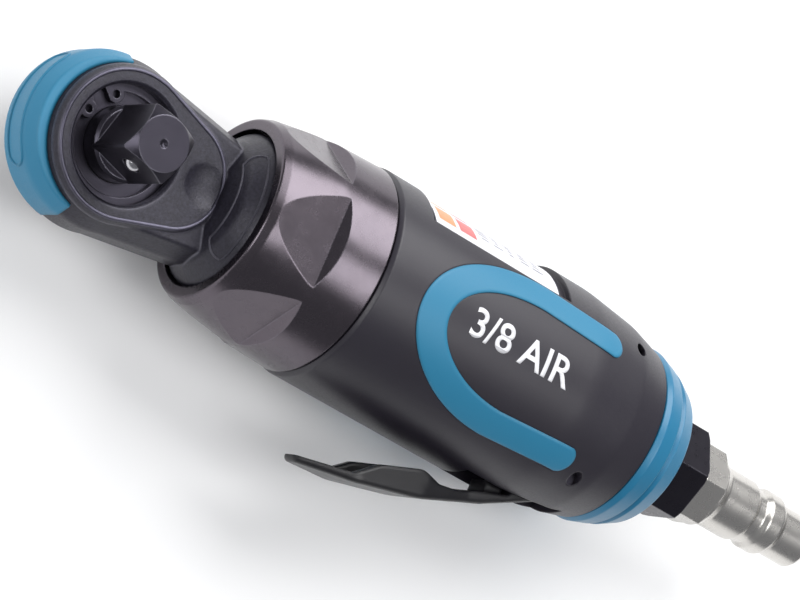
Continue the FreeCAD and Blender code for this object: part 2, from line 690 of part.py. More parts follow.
def ring_gear():
    width = RING_GEAR_X[1] - RING_GEAR_X[0]
    space = prism(gear_wire(RING_TEETH, DEDENDUM, ADDENDUM, -BACKLASH), -1, width + 1)
    blank = Part.makeCylinder(FLANGE_R, width)
    gear = along_x(blank.cut(space), RING_GEAR_X[0])
    relief = rod(RING_GEAR_X[0] - 1, PLANET_X[0] - SIDE, MODULE * RING_TEETH / 2 + DEDENDUM)
    return gear.cut(relief)


def clamp_collar():
    front, back = COLLAR_X
    body = turned([(front, COLLAR_LIP_R), (front, COLLAR_R[0] - 0.2, 0.6), (front + 1.6, COLLAR_R[0] + 0.5, 1.5),
                   (front + 12, COLLAR_R[1] - 0.35, 14.0), (back - 0.5, COLLAR_R[1] + 0.1), (back, COLLAR_R[1] - 0.3),
                   (back, COLLAR_BORE), (front + COLLAR_LIP, COLLAR_BORE), (front + COLLAR_LIP, COLLAR_LIP_R)])
    cuts = []
    for k in range(6):
        pocket = block(front - 1, COLLAR_FLAT_END, -12, 12, COLLAR_FLAT, COLLAR_FLAT + 6)
        ramp = prism(rounded_wire([(COLLAR_FLAT_END - 1, COLLAR_FLAT), (COLLAR_FLAT_END, COLLAR_FLAT),
                                   (COLLAR_FLAT_END + 2.2, COLLAR_FLAT + 3.0),
                                   (COLLAR_FLAT_END - 1, COLLAR_FLAT + 3.0)]), -12, 12)
        ramp.rotate(ORIGIN, X_AXIS, 90)
        for cutter in (pocket, ramp):
            cutter.rotate(ORIGIN, X_AXIS, 60.0 * k)
            cuts.append(cutter)
    return body.cut(cuts)


# ---------------------------------------------------------------- motor

def bearing(x0, x1, outer, inner):
    """Sealed ball bearing drawn as one ring with shallow shield grooves."""
    middle = (outer + inner) / 2
    width = (outer - inner) * 0.28
    body = tube(x0, x1, outer, inner)
    grooves = [tube(x0 - 1, x0 + 0.3, middle + width, middle - width),
               tube(x1 - 0.3, x1 + 1, middle + width, middle - width)]
    return body.cut(grooves)


def front_end_plate():
    plate = rod(FRONT_PLATE_X[0], FRONT_PLATE_X[1], HOUSING_BORE)
    seat = rod(FRONT_PLATE_X[0] - 1, FRONT_BEARING_X[1], FRONT_BEARING_R)
    shaft = rod(FRONT_PLATE_X[0], FRONT_PLATE_X[1] + 1, ROTOR_SHAFT_R + FREE)
    return plate.cut([seat, shaft, dowel()])


def rear_end_plate():
    plate = rod(REAR_PLATE_X[0], REAR_PLATE_X[1], HOUSING_BORE)
    seat = rod(REAR_BEARING_X[0], REAR_PLATE_X[1] + 1, REAR_BEARING_R)
    shaft = rod(REAR_PLATE_X[0] - 1, REAR_PLATE_X[1], REAR_SHAFT_R + FREE)
    ports = [rod(REAR_PLATE_X[0] - 1, REAR_PLATE_X[1] + 1, 1.5, side * 7.0, 9.2) for side in (-1, 1)]
    return plate.cut([seat, shaft, dowel()] + ports)


def dowel():
    return rod(FRONT_PLATE_X[1] - 3, REAR_PLATE_X[0] + 3, 0.9, 0, -(HOUSING_BORE - 1.6))


def cylinder():
    body = rod(CYLINDER_X[0], CYLINDER_X[1], HOUSING_BORE)
    bore = rod(CYLINDER_X[0] - 1, CYLINDER_X[1] + 1, CYLINDER_BORE, 0, ECCENTRICITY)
    ports = []
    for k in range(EXHAUST_SLOTS):
        x = CYLINDER_X[0] + 6 + 6 * k
        ports.append(block(x - 1, x + 1, -HOUSING_BORE - 1, 0, -1.5, 1.5))
    return body.cut([bore, dowel()] + ports)


def rotor():
    body = rod(CYLINDER_X[0] + SIDE, CYLINDER_X[1] - SIDE, ROTOR_R)
    front = rod(CARRIER_X[1] + SIDE, CYLINDER_X[0] + 1, ROTOR_SHAFT_R)
    back = rod(CYLINDER_X[1] - 1, REAR_PLATE_X[1] + 0.5, REAR_SHAFT_R)
    width = CARRIER_X[1] + 2 * SIDE - PLANET_X[0]
    pinion = along_x(prism(gear_wire(SUN_TEETH, ADDENDUM, DEDENDUM, BACKLASH), 0, width), PLANET_X[0])
    slots = []
    for k in range(VANES):
        slot = block(CYLINDER_X[0] - 1, CYLINDER_X[1] + 1, -VANE_THICKNESS / 2 - RUN,
                     VANE_THICKNESS / 2 + RUN, ROTOR_R - VANE_HEIGHT - 0.3, ROTOR_R + 1)
        slot.rotate(ORIGIN, X_AXIS, 360.0 * k / VANES)
        slots.append(slot)
    return body.cut(slots).fuse([front, back, pinion]).removeSplitter()


def vanes():
    blades = []
    for k in range(VANES):
        blade = block(CYLINDER_X[0] + 2 * SIDE, CYLINDER_X[1] - 2 * SIDE, -VANE_THICKNESS / 2,
                      VANE_THICKNESS / 2, ROTOR_R - VANE_HEIGHT - 0.1, ROTOR_R - 0.1)
        blade.rotate(ORIGIN, X_AXIS, 360.0 * k / VANES)
        blades.append(blade)
    return Part.makeCompound(blades)


def gasket():
    ring = tube(REAR_PLATE_X[1], REAR_PLATE_X[1] + 0.8, HOUSING_BORE, REAR_BEARING_R + 1.5)
    ports = [rod(REAR_PLATE_X[1] - 1, REAR_PLATE_X[1] + 2, 1.5, side * 7.0, 9.2) for side in (-1, 1)]
    return ring.cut(ports)


def housing_profile(grow):
    """Outside of the motor housing inside the grip, as (x, radius) corners."""
    return [(COLLAR_X[1], HOUSING_R + grow), (TAPER_X, HOUSING_R + grow), (HOUSING_END, HOUSING_END_R + grow)]


def motor_housing():
    body = turned([(RING_GEAR_X[1], 0), (RING_GEAR_X[1], FLANGE_R), (COLLAR_X[1], FLANGE_R)]
                  + housing_profile(0) + [(HOUSING_END, 0)])
    motor_bore = rod(RING_GEAR_X[1] - 1, REAR_PLATE_X[1] + 0.8, HOUSING_BORE)
    chamber = rod(REAR_PLATE_X[1], BLOCK_X, 9.0)
    feed = rod(BLOCK_X - 1, VALVE_SEAT_X[1], 4.6)
    inlet = rod(VALVE_SEAT_X[0], HOUSING_END + 1, THREAD_R - 0.9)
    thread = rod(BUSHING_FRONT, HOUSING_END + 1, THREAD_R)
    pin_bore = Part.makeCylinder(VALVE_PIN_R + RUN, HOUSING_R + 1, V(VALVE_PIN_X, -HOUSING_R - 1, 0), Y_AXIS)
    lever_slot = block(PIVOT_X - 8.0, PIVOT_X + 5.0, -HOUSING_R - 1, PIVOT_Y + LEVER_EYE_R + 0.9,
                       -TONGUE_WIDTH / 2 - FREE, TONGUE_WIDTH / 2 + FREE)
    pivot_hole = post(-LEVER_PIN_HALF, LEVER_PIN_HALF, PIVOT_R, PIVOT_X, PIVOT_Y)
    exhaust = []
    for angle in (35, 70, 110, 145):
        channel = rod(REAR_PLATE_X[1] + 2, HOUSING_END + 1, 1.7, 0, 11.6)
        channel.rotate(ORIGIN, X_AXIS, -angle)
        exhaust.append(channel)
    return body.cut([motor_bore, chamber, feed, inlet, thread, pin_bore, lever_slot, pivot_hole] + exhaust)


# ---------------------------------------------------------------- throttle valve and lever


def valve_seat():
    return turned([(VALVE_SEAT_X[0], 3.0), (VALVE_SEAT_X[0], THREAD_R - 0.9), (VALVE_SEAT_X[1], THREAD_R - 0.9),
                   (VALVE_SEAT_X[1], 3.4), (VALVE_SEAT_X[1] - 0.4, 3.0)])


def throttle_valve():
    """Tilting valve: a disc behind its seat, with a stem that the valve pin pushes sideways."""
    return turned([(VALVE_PIN_X - 1.8, 0), (VALVE_PIN_X - 1.8, STEM_R - 0.3), (VALVE_PIN_X - 1.5, STEM_R),
                   (VALVE_DISC_X - 0.4, STEM_R), (VALVE_DISC_X - 0.4, VALVE_DISC_R - 0.4),
                   (VALVE_DISC_X, VALVE_DISC_R), (VALVE_DISC_X + 1.0, VALVE_DISC_R),
                   (VALVE_DISC_X + 1.0, 1.8), (VALVE_DISC_X + 2.2, 1.4), (VALVE_DISC_X + 2.2, 0)])


def valve_pin():
    inner = -STEM_R - SIDE
    length = VALVE_PIN_OUT + inner
    shaft = Part.makeCylinder(VALVE_PIN_R, length - 1.0, V(VALVE_PIN_X, -VALVE_PIN_OUT + 0.5, 0), Y_AXIS)
    outer = Part.makeCone(0.8, VALVE_PIN_R, 0.5, V(VALVE_PIN_X, -VALVE_PIN_OUT, 0), Y_AXIS)
    tip = Part.makeCone(VALVE_PIN_R, 0.8, 0.5, V(VALVE_PIN_X, inner - 0.5, 0), Y_AXIS)
    return shaft.fuse([outer, tip]).removeSplitter()


def valve_spring():
    start = VALVE_DISC_X + 1.0 + SIDE
    coil = spring(VALVE_SPRING_R, 0.35, BUSHING_FRONT + 2.0 - SIDE - start, 4)
    return along_x(coil, start)


def lever_blade_points(lift):
    """Outer line of the lever from tip to pivot, as (x, y), lifted towards the tool by lift."""
    return [(LEVER_TIP_X, LEVER_TIP_Y + lift), (LEVER_BEND[0], LEVER_BEND[1] + lift),
            (LEVER_BELLY[0], LEVER_BELLY[1] + lift), (LEVER_REAR[0], LEVER_REAR[1] + lift)]


def outer_edges(solid):
    """Edges that run along the lever's outer side, where nothing of the lever lies further out."""
    found = []
    for edge in solid.Edges:
        outside = True
        for share in (0.1, 0.5, 0.9):
            at = edge.FirstParameter + (edge.LastParameter - edge.FirstParameter) * share
            point = edge.valueAt(at)
            clear = Part.Vertex(point - V(0, 0.2, 0)).distToShape(solid)[0] > 0.1
            ray = Part.makeLine(point - V(0, 0.05, math.copysign(0.05, point.z)),
                                point - V(0, 10, math.copysign(0.05, point.z)))
            along = abs(edge.tangentAt(at).x) > 0.3
            outside = outside and clear and along and abs(point.z) > 1 and ray.distToShape(solid)[0] > 0.001
        if outside:
            found.append(edge)
    return found


def throttle_lever():
    """Channel-shaped thumb lever: a bent web, two side walls, and a tongue with the pivot eye."""
    outer = lever_blade_points(0)
    inner = lever_blade_points(LEVER_WEB)
    heel = [(PIVOT_X + 3.2, PIVOT_Y - 3.6, 1.5)]
    web = rounded_wire([outer[0], LEVER_BEND, LEVER_BELLY, outer[3]]
                       + heel + [(PIVOT_X + 2.0, PIVOT_Y - 1.4), (VALVE_PIN_X + 2.4, -VALVE_PIN_OUT - 1.2)]
                       + [(inner[3][0] - 2.0, inner[3][1]), (inner[2][0], inner[2][1], 28.0),
                          (inner[1][0], inner[1][1], 12.0), (inner[0][0], inner[0][1] - 0.4)])
    half = LEVER_WIDTH / 2
    blade = prism(web, -half, half)
    wall_wire = rounded_wire([(LEVER_TIP_X + 7.0, LEVER_TIP_Y + 1.8), (outer[1][0], outer[1][1] + 0.4, 12.0),
                              (outer[2][0], outer[2][1] + 0.4, 28.0), (outer[3][0] + 3, outer[3][1] + 1.6),
                              (outer[3][0] + 3, WALL_END_Y), HUMP_FOOT + (2.0,), HUMP_BACK + (3.5,),
                              HUMP_FRONT + (3.5,), (HUMP_FRONT[0] - 4.5, HUMP_FRONT[1] - 3.6, 2.0)])
    walls = [prism(wall_wire, half - LEVER_WALL, half), prism(wall_wire, -half, -half + LEVER_WALL)]
    spread_x = LEVER_TIP_X + LEVER_SPREAD
    side = [(LEVER_TIP_X, LEVER_TIP_HALF, 1.0), (spread_x, half, 6.0), (79, half, 8.0),
            (88.5, TONGUE_WIDTH / 2, 3.0), (120, TONGUE_WIDTH / 2)]
    mirrored = [(corner[0], -corner[1]) + corner[2:] for corner in reversed(side)]
    plan = prism(rounded_wire(side + mirrored), -60, 60)
    plan.rotate(ORIGIN, X_AXIS, 90)
    shell = blade.fuse(walls).removeSplitter().common(plan).removeSplitter()
    softened = shell.makeFillet(LEVER_EDGE, outer_edges(shell))
    if softened.isValid():
        shell = softened
    eye = post(-TONGUE_WIDTH / 2, TONGUE_WIDTH / 2, LEVER_EYE_R, PIVOT_X, PIVOT_Y)
    pad = block(VALVE_PIN_X - 1.6, VALVE_PIN_X + 1.8, -21.6, -VALVE_PIN_OUT - 2 * SIDE, -2.6, 2.6)
    hole = post(-20, 20, PIVOT_R + RUN, PIVOT_X, PIVOT_Y)
    neck = prism(rounded_wire([(VALVE_PIN_X + 1.6, -21.4), (PIVOT_X + 2.6, PIVOT_Y - 3.0),
                               (PIVOT_X + 1.0, PIVOT_Y + 2.0), (PIVOT_X - 2.7, PIVOT_Y + 0.9),
                               (PIVOT_X - 4.6, PIVOT_Y - 4.9)]),
                 -TONGUE_WIDTH / 2, TONGUE_WIDTH / 2)
    lever = shell.fuse([eye, pad, neck]).cut(hole)
    return lever.removeSplitter()


# ---------------------------------------------------------------- grip, deflector and inlet

def grip_profile(grow):
    """Outside of the grip as (x, radius, corner rounding)."""
    return [(COLLAR_X[1] + SIDE, GRIP_R - 0.6 + grow), (COLLAR_X[1] + 0.8, GRIP_R + grow, 0.5),
            (94.0, GRIP_R + grow, 30.0), (105.0, 18.9 + grow, 12.0), (HOUSING_END + 0.6, 17.2 + grow)]


def inlay_wire():
    """U-shaped band seen square on: elliptic bow towards the head, arms towards the plug."""
    bow_x = U_APEX + U_BOW
    inner_half = U_HALF - U_ARM
    outer_bow = Part.ArcOfEllipse(Part.Ellipse(V(bow_x, U_MID, 0), U_BOW, U_HALF), math.pi / 2, 1.5 * math.pi)
    inner_bow = Part.ArcOfEllipse(Part.Ellipse(V(bow_x, U_MID, 0), U_BOW - U_APEX_WIDTH, inner_half),
                                  math.pi / 2, 1.5 * math.pi)
    edges = [outer_bow.toShape(), inner_bow.toShape()]
    for side in (-1, 1):
        outside = V(U_END, U_MID + side * (U_HALF - U_PULL), 0)
        inside = V(U_END, U_MID + side * (inner_half - U_PULL), 0)
        tip = V(U_END + U_ARM * 0.42, U_MID + side * (U_HALF - U_PULL - U_ARM / 2), 0)
        edges.append(Part.LineSegment(V(bow_x, U_MID + side * U_HALF, 0), outside).toShape())
        edges.append(Part.LineSegment(V(bow_x, U_MID + side * inner_half, 0), inside).toShape())
        edges.append(Part.Arc(outside, tip, inside).toShape())
    return Part.Wire(Part.__sortEdges__(edges))


def side_inlay(side):
    """Coloured U on one flank; side is +1 for the drive side and -1 for the knob side."""
    band = prism(inlay_wire(), 0, 30)
    if side < 0:
        band.rotate(ORIGIN, X_AXIS, 180)
        band.translate(V(0, 2 * U_MID, 0))
    skin = turned(grip_profile(INLAY_PROUD) + [(HOUSING_END + 0.6, 10), (COLLAR_X[1] + SIDE, 10)])
    core = turned([(COLLAR_X[1] - 1, 0), (COLLAR_X[1] - 1, GRIP_R - INLAY_DEPTH), (94.0, GRIP_R - INLAY_DEPTH, 30.0),
                   (105.0, 18.9 - INLAY_DEPTH), (120, 10), (120, 0)])
    return band.common(skin).cut(core)


def label_pocket(depth, x0, x1, half_angle, thickness):
    """Curved slab on the +Y side of the grip, thickness high above depth below the grip's surface."""
    slab = tube(x0, x1, GRIP_R - depth + thickness, GRIP_R - depth)
    wedge_half = 40 * math.sin(math.radians(half_angle))
    wedge_out = 40 * math.cos(math.radians(half_angle))
    wedge = prism(rounded_wire([(0, 0), (wedge_out, -wedge_half), (wedge_out, wedge_half)]), 0, x1 - x0)
    wedge.rotate(ORIGIN, Z_AXIS, 90)
    wedge = along_x(wedge, x0)
    return slab.common(wedge)


def grip_shell():
    inner = [(x, r + GRIP_WALL_GAP) for x, r in reversed(housing_profile(0))]
    inner[0] = (HOUSING_END + 0.6, inner[0][1])
    inner[-1] = (COLLAR_X[1] + SIDE, inner[-1][1])
    shell = turned(grip_profile(0) + inner)
    pocket = label_pocket(LABEL_DEPTH, LABEL_X[0] - 1.5, LABEL_X[1] + 2.0, LABEL_HALF_ANGLE + 3, 10)
    slot = block(PIVOT_X - 15.5, PIVOT_X + 6.0, -GRIP_R - 2, 0, -TONGUE_WIDTH / 2 - 2 * FREE,
                 TONGUE_WIDTH / 2 + 2 * FREE)
    pivot_hole = post(-30, 30, PIVOT_R, PIVOT_X, PIVOT_Y)
    pin_hole = Part.makeCylinder(VALVE_PIN_R + FREE, 10, V(VALVE_PIN_X, -GRIP_R - 2, 0), Y_AXIS)
    screw_hole = post(0, 30, 1.1, 104.0, 12.6)
    return shell.cut([pocket, slot, pivot_hole, pin_hole, screw_hole, side_inlay(1), side_inlay(-1)])


def lever_pin():
    return post(-LEVER_PIN_HALF, LEVER_PIN_HALF, PIVOT_R, PIVOT_X, PIVOT_Y)


def label():
    return label_pocket(LABEL_DEPTH, LABEL_X[0], LABEL_X[1], LABEL_HALF_ANGLE, LABEL_THICKNESS)


def exhaust_deflector():
    """Swivelling ring round the inlet bushing; air leaves through the window in its skirt."""
    front, back = DEFLECTOR_X
    body = turned([(front, MUFFLER_R + FREE), (front, DEFLECTOR_R[0] - 0.4, 0.3), (front + 1.2, DEFLECTOR_R[0], 0.6),
                   (front + 4.4, DEFLECTOR_R[0] - 1.0), (front + 5.0, DEFLECTOR_R[0] - 1.8),
                   (front + 5.8, DEFLECTOR_R[0] - 1.5), (back - 0.8, DEFLECTOR_R[1] + 0.5, 1.0),
                   (back, DEFLECTOR_R[1] - 0.6), (back, SHANK_R + FREE), (front + 5.2, SHANK_R + FREE),
                   (front + 5.2, MUFFLER_R + FREE)])
    scallops = []
    for k in range(12):
        scallop = rod(front + 6.0, back + 1, 2.2, 0, DEFLECTOR_R[1] + 4.4)
        scallop.rotate(ORIGIN, X_AXIS, 30.0 * k + 15)
        scallops.append(scallop)
    window = block(front + 1.6, front + 4.0, -4.5, 4.5, -DEFLECTOR_R[0] - 2, -MUFFLER_R + 1)
    return body.cut(scallops + [window])


def muffler():
    return tube(DEFLECTOR_X[0] + SIDE, DEFLECTOR_X[0] + 4.8, MUFFLER_R, SHANK_R + RUN)


def deflector_washer():
    return tube(DEFLECTOR_X[1] + SIDE, HEX_X[0] - SIDE, DEFLECTOR_R[1] - 1.2, SHANK_R + RUN)


def inlet_bushing():
    shank = turned([(BUSHING_FRONT, AIR_BORE_R + 0.8), (BUSHING_FRONT, THREAD_R), (HOUSING_END + 0.2, THREAD_R),
                    (HOUSING_END + 0.2, SHANK_R), (HEX_X[0] + 0.5, SHANK_R), (HEX_X[0] + 0.5, AIR_BORE_R + 0.8)])
    head = chamfered_hexagon(HEX_X[0], HEX_X[1], HEX_FLATS, 0.7)
    bore = rod(HEX_X[0] - 1, HEX_X[1] + 1, PLUG_THREAD_R)
    strainer_seat = rod(BUSHING_FRONT + 2, HEX_X[0], STRAINER_R)
    return shank.fuse(head).cut([bore, strainer_seat]).removeSplitter()


def inlet_oring():
    return Part.makeTorus(THREAD_R - 0.9 - 0.6, 0.6, V(BUSHING_FRONT - 0.62, 0, 0), X_AXIS)


def strainer():
    cup = turned([(BUSHING_FRONT + 2.2, 0), (BUSHING_FRONT + 2.2, 3.2), (HEX_X[0] - 3.0, STRAINER_R - 0.6),
                  (HEX_X[0] - 3.0, STRAINER_R), (HEX_X[0] - 2.0, STRAINER_R), (HEX_X[0] - 2.0, STRAINER_R - 1.1),
                  (BUSHING_FRONT + 2.9, 2.6), (BUSHING_FRONT + 2.9, 0)])
    return cup


def seal_washer():
    return tube(HEX_X[1], PLUG_X, PLUG_FLATS / 2 - 0.1, PLUG_THREAD_R + 0.1)


def air_plug():
    """Nipple for a DN 7.2 quick coupling."""
    hex_end = PLUG_X + 5.4
    body = turned([(HEX_X[0] + 1.0, AIR_BORE_R), (HEX_X[0] + 1.0, PLUG_THREAD_R - 0.4),
                   (HEX_X[0] + 1.6, PLUG_THREAD_R), (PLUG_X + 1, PLUG_THREAD_R), (hex_end - 1, PLUG_THREAD_R),
                   (hex_end - 1, 7.0), (hex_end + 0.6, 7.0), (hex_end + 2.2, 6.0, 0.6), (146.4, 6.0, 0.5),
                   (147.0, 5.3, 0.6), (149.0, 5.3, 0.6), (150.0, 5.95, 0.8), (153.0, 5.95, 0.8),
                   (154.2, 5.0), (NOSE_X - 0.8, 5.0), (NOSE_X, 4.4), (NOSE_X, AIR_BORE_R)])
    head = chamfered_hexagon(PLUG_X, hex_end, PLUG_FLATS, 0.6)
    bore = rod(HEX_X[0], NOSE_X + 1, AIR_BORE_R)
    return body.fuse(head).cut(bore).removeSplitter()


# ---------------------------------------------------------------- write every piece

def build():
    os.makedirs("parts", exist_ok=True)
    save(ratchet_head(), "ratchet_head")
    save(head_bumper(), "head_bumper")
    save(head_circlip(), "head_circlip")
    save(washer_upright(HEAD_FLOOR, HEAD_FLOOR + WASHER, CHAMBER_R - SIDE, KNOB_R + KNOB_RIM + FREE),
         "rear_thrust_washer")
    save(washer_upright(FRONT_WASHER_Z[0], FRONT_WASHER_Z[1], CHAMBER_R - SIDE, SHOULDER_R + 0.06),
         "front_thrust_washer")
    save(anvil(), "anvil")
    save(detent_ball(), "detent_ball")
    save(detent_spring(), "detent_spring")
    save(ratchet_yoke(), "ratchet_yoke")
    save(pawl(), "pawl")
    save(pawl_pin(), "pawl_pin")
    save(plunger_shape(0), "pawl_plunger")
    save(pawl_spring(), "pawl_spring")
    save(reverse_knob(), "reverse_knob")
    save(drive_bushing(), "drive_bushing")
    save(crankshaft(), "crankshaft")
    save(tube(BEARING_X[0], BEARING_X[1], CRANK_BEARING_R, CRANK_SHAFT_R + RUN), "crank_bearing")
    save(planet_carrier(), "planet_carrier")
    save(planet_pins(), "planet_pins")
    for k, angle in enumerate(planet_angles()):
        save(planet_gear(angle), "planet_gear_%d" % (k + 1))
    save(ring_gear(), "ring_gear")
    save(clamp_collar(), "clamp_collar")
    save(motor_housing(), "motor_housing")
    save(front_end_plate(), "front_end_plate")
    save(bearing(FRONT_BEARING_X[0], FRONT_BEARING_X[1], FRONT_BEARING_R, ROTOR_SHAFT_R + RUN), "front_bearing")
    save(cylinder(), "cylinder")
    save(rotor(), "rotor")
    save(vanes(), "vanes")
    save(rear_end_plate(), "rear_end_plate")
    save(bearing(REAR_BEARING_X[0], REAR_BEARING_X[1], REAR_BEARING_R, REAR_SHAFT_R + RUN), "rear_bearing")
    save(dowel(), "dowel")
    save(gasket(), "gasket")
    save(valve_seat(), "valve_seat")
    save(throttle_valve(), "throttle_valve")
    save(valve_pin(), "valve_pin")
    save(valve_spring(), "valve_spring")
    save(throttle_lever(), "throttle_lever")
    save(lever_pin(), "lever_pin")
    save(grip_shell(), "grip_shell")
    save(side_inlay(1), "side_inlay_drive_side")
    save(side_inlay(-1), "side_inlay_knob_side")
    save(label(), "label")
    save(exhaust_deflector(), "exhaust_deflector")
    save(muffler(), "muffler")
    save(deflector_washer(), "deflector_washer")
    save(inlet_bushing(), "inlet_bushing")
    save(inlet_oring(), "inlet_oring")
    save(strainer(), "strainer")
    save(seal_washer(), "seal_washer")
    save(air_plug(), "air_plug")


build()
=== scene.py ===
# %% [markdown]
# # A small air ratchet
# The tool is a forged ratchet head with a square drive, a clamp collar, a moulded grip round a
# vane motor, a thumb lever, and a nickel-plated plug for the air hose.  The exact shapes come from
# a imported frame.  This lesson gives them their surfaces: smooth shading, rounded edges, finishes
# built from nodes, and the small raised and printed details.

# %% Load the frame
import json
import math
import bmesh
import bpy
from mathutils import Matrix, Vector
from mathutils.bvhtree import BVHTree

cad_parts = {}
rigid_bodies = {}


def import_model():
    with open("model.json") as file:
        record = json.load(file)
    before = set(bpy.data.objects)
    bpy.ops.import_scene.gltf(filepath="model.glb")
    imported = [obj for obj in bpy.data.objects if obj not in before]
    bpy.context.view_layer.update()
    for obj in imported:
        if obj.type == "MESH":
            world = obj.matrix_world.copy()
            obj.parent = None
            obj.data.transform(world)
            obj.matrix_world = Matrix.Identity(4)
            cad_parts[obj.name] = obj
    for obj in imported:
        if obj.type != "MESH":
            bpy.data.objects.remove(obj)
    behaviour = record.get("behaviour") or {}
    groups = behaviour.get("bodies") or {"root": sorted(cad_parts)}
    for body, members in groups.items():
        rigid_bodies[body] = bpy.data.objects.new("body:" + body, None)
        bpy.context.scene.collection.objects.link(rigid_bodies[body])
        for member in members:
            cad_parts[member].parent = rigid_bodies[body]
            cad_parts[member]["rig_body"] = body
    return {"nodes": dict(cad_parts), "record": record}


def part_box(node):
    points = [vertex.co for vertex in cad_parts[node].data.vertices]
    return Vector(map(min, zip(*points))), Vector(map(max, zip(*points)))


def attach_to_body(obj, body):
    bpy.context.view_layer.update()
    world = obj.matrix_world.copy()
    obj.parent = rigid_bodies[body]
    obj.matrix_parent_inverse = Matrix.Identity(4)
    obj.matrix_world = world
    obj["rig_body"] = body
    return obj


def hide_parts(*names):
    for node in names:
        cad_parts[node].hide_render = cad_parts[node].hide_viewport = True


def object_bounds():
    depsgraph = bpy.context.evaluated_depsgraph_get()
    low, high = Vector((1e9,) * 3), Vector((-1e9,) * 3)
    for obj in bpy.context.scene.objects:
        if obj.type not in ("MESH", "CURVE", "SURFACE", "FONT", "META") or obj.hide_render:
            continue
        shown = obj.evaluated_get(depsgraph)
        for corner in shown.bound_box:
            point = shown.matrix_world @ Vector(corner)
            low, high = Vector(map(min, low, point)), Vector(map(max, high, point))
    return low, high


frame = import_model()
size_at_load = [list(corner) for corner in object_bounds()]
print("pieces in the frame:", len(frame["nodes"]))

# %% [markdown]
# All sizes below are millimetres, as on a workshop drawing, and one factor turns them into the
# metres that Blender works in.  The tool's long axis runs along X, below the frame's origin, which
# sits on the drive's shoulder.

# %% Units and the tool's axis
MM = 0.001
OUTSIDE = 30 * MM           # far enough from the tool's axis to clear the tool on every side
collar_low, collar_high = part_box("clamp_collar")
AXIS_Z = (collar_low.z + collar_high.z) / 2
print("tool axis is", round(-AXIS_Z / MM, 2), "mm below the origin")

# %% [markdown]
# Colours are written the way a paint chart gives them, as sRGB hex.  Shaders want linear light, so
# one function converts them.  A second small function adds a node: settings first, then its
# inputs, each one a plain value or a link from another node's output.

# %% Colour and node helpers
def linear(code):
    """sRGB hex code to the linear colour a shader needs."""
    parts = [int(code[i:i + 2], 16) / 255 for i in (1, 3, 5)]
    return tuple(p / 12.92 if p <= 0.04045 else ((p + 0.055) / 1.055) ** 2.4 for p in parts) + (1.0,)


def add(tree, kind, settings, inputs):
    """Add a node, with its settings, and with inputs that are values or links."""
    made = tree.nodes.new(kind)
    for name, value in settings.items():
        setattr(made, name, value)
    for name, value in inputs.items():
        if isinstance(value, bpy.types.NodeSocket):
            tree.links.new(value, made.inputs[name])
        else:
            made.inputs[name].default_value = value
    return made


print("mid grey in linear light:", [round(c, 3) for c in linear("#808080")])

# %% [markdown]
# Nearly every surface of a tool shares the same story: a base colour that drifts a little, a fine
# grain that catches the light, and edges that are rounded and rubbed paler.  The Bevel node rounds
# edges for shading only, and the angle between its normal and the true one marks where an edge is,
# which is where wear goes.  So one recipe builds all the finishes, and each finish gives it the
# numbers of its real material.

# %% The common recipe for a finish
WEAR_STARTS, WEAR_FULL = 0.995, 0.85            # cosines between the two normals
GRAIN_LOW, GRAIN_HIGH = 0.3, 0.7                # the part of a noise's range that it mostly fills
WAVE_PERIOD = 2 * math.pi / 20                  # how often a wave texture repeats at scale 1
COAT_ROUGHNESS = 0.25


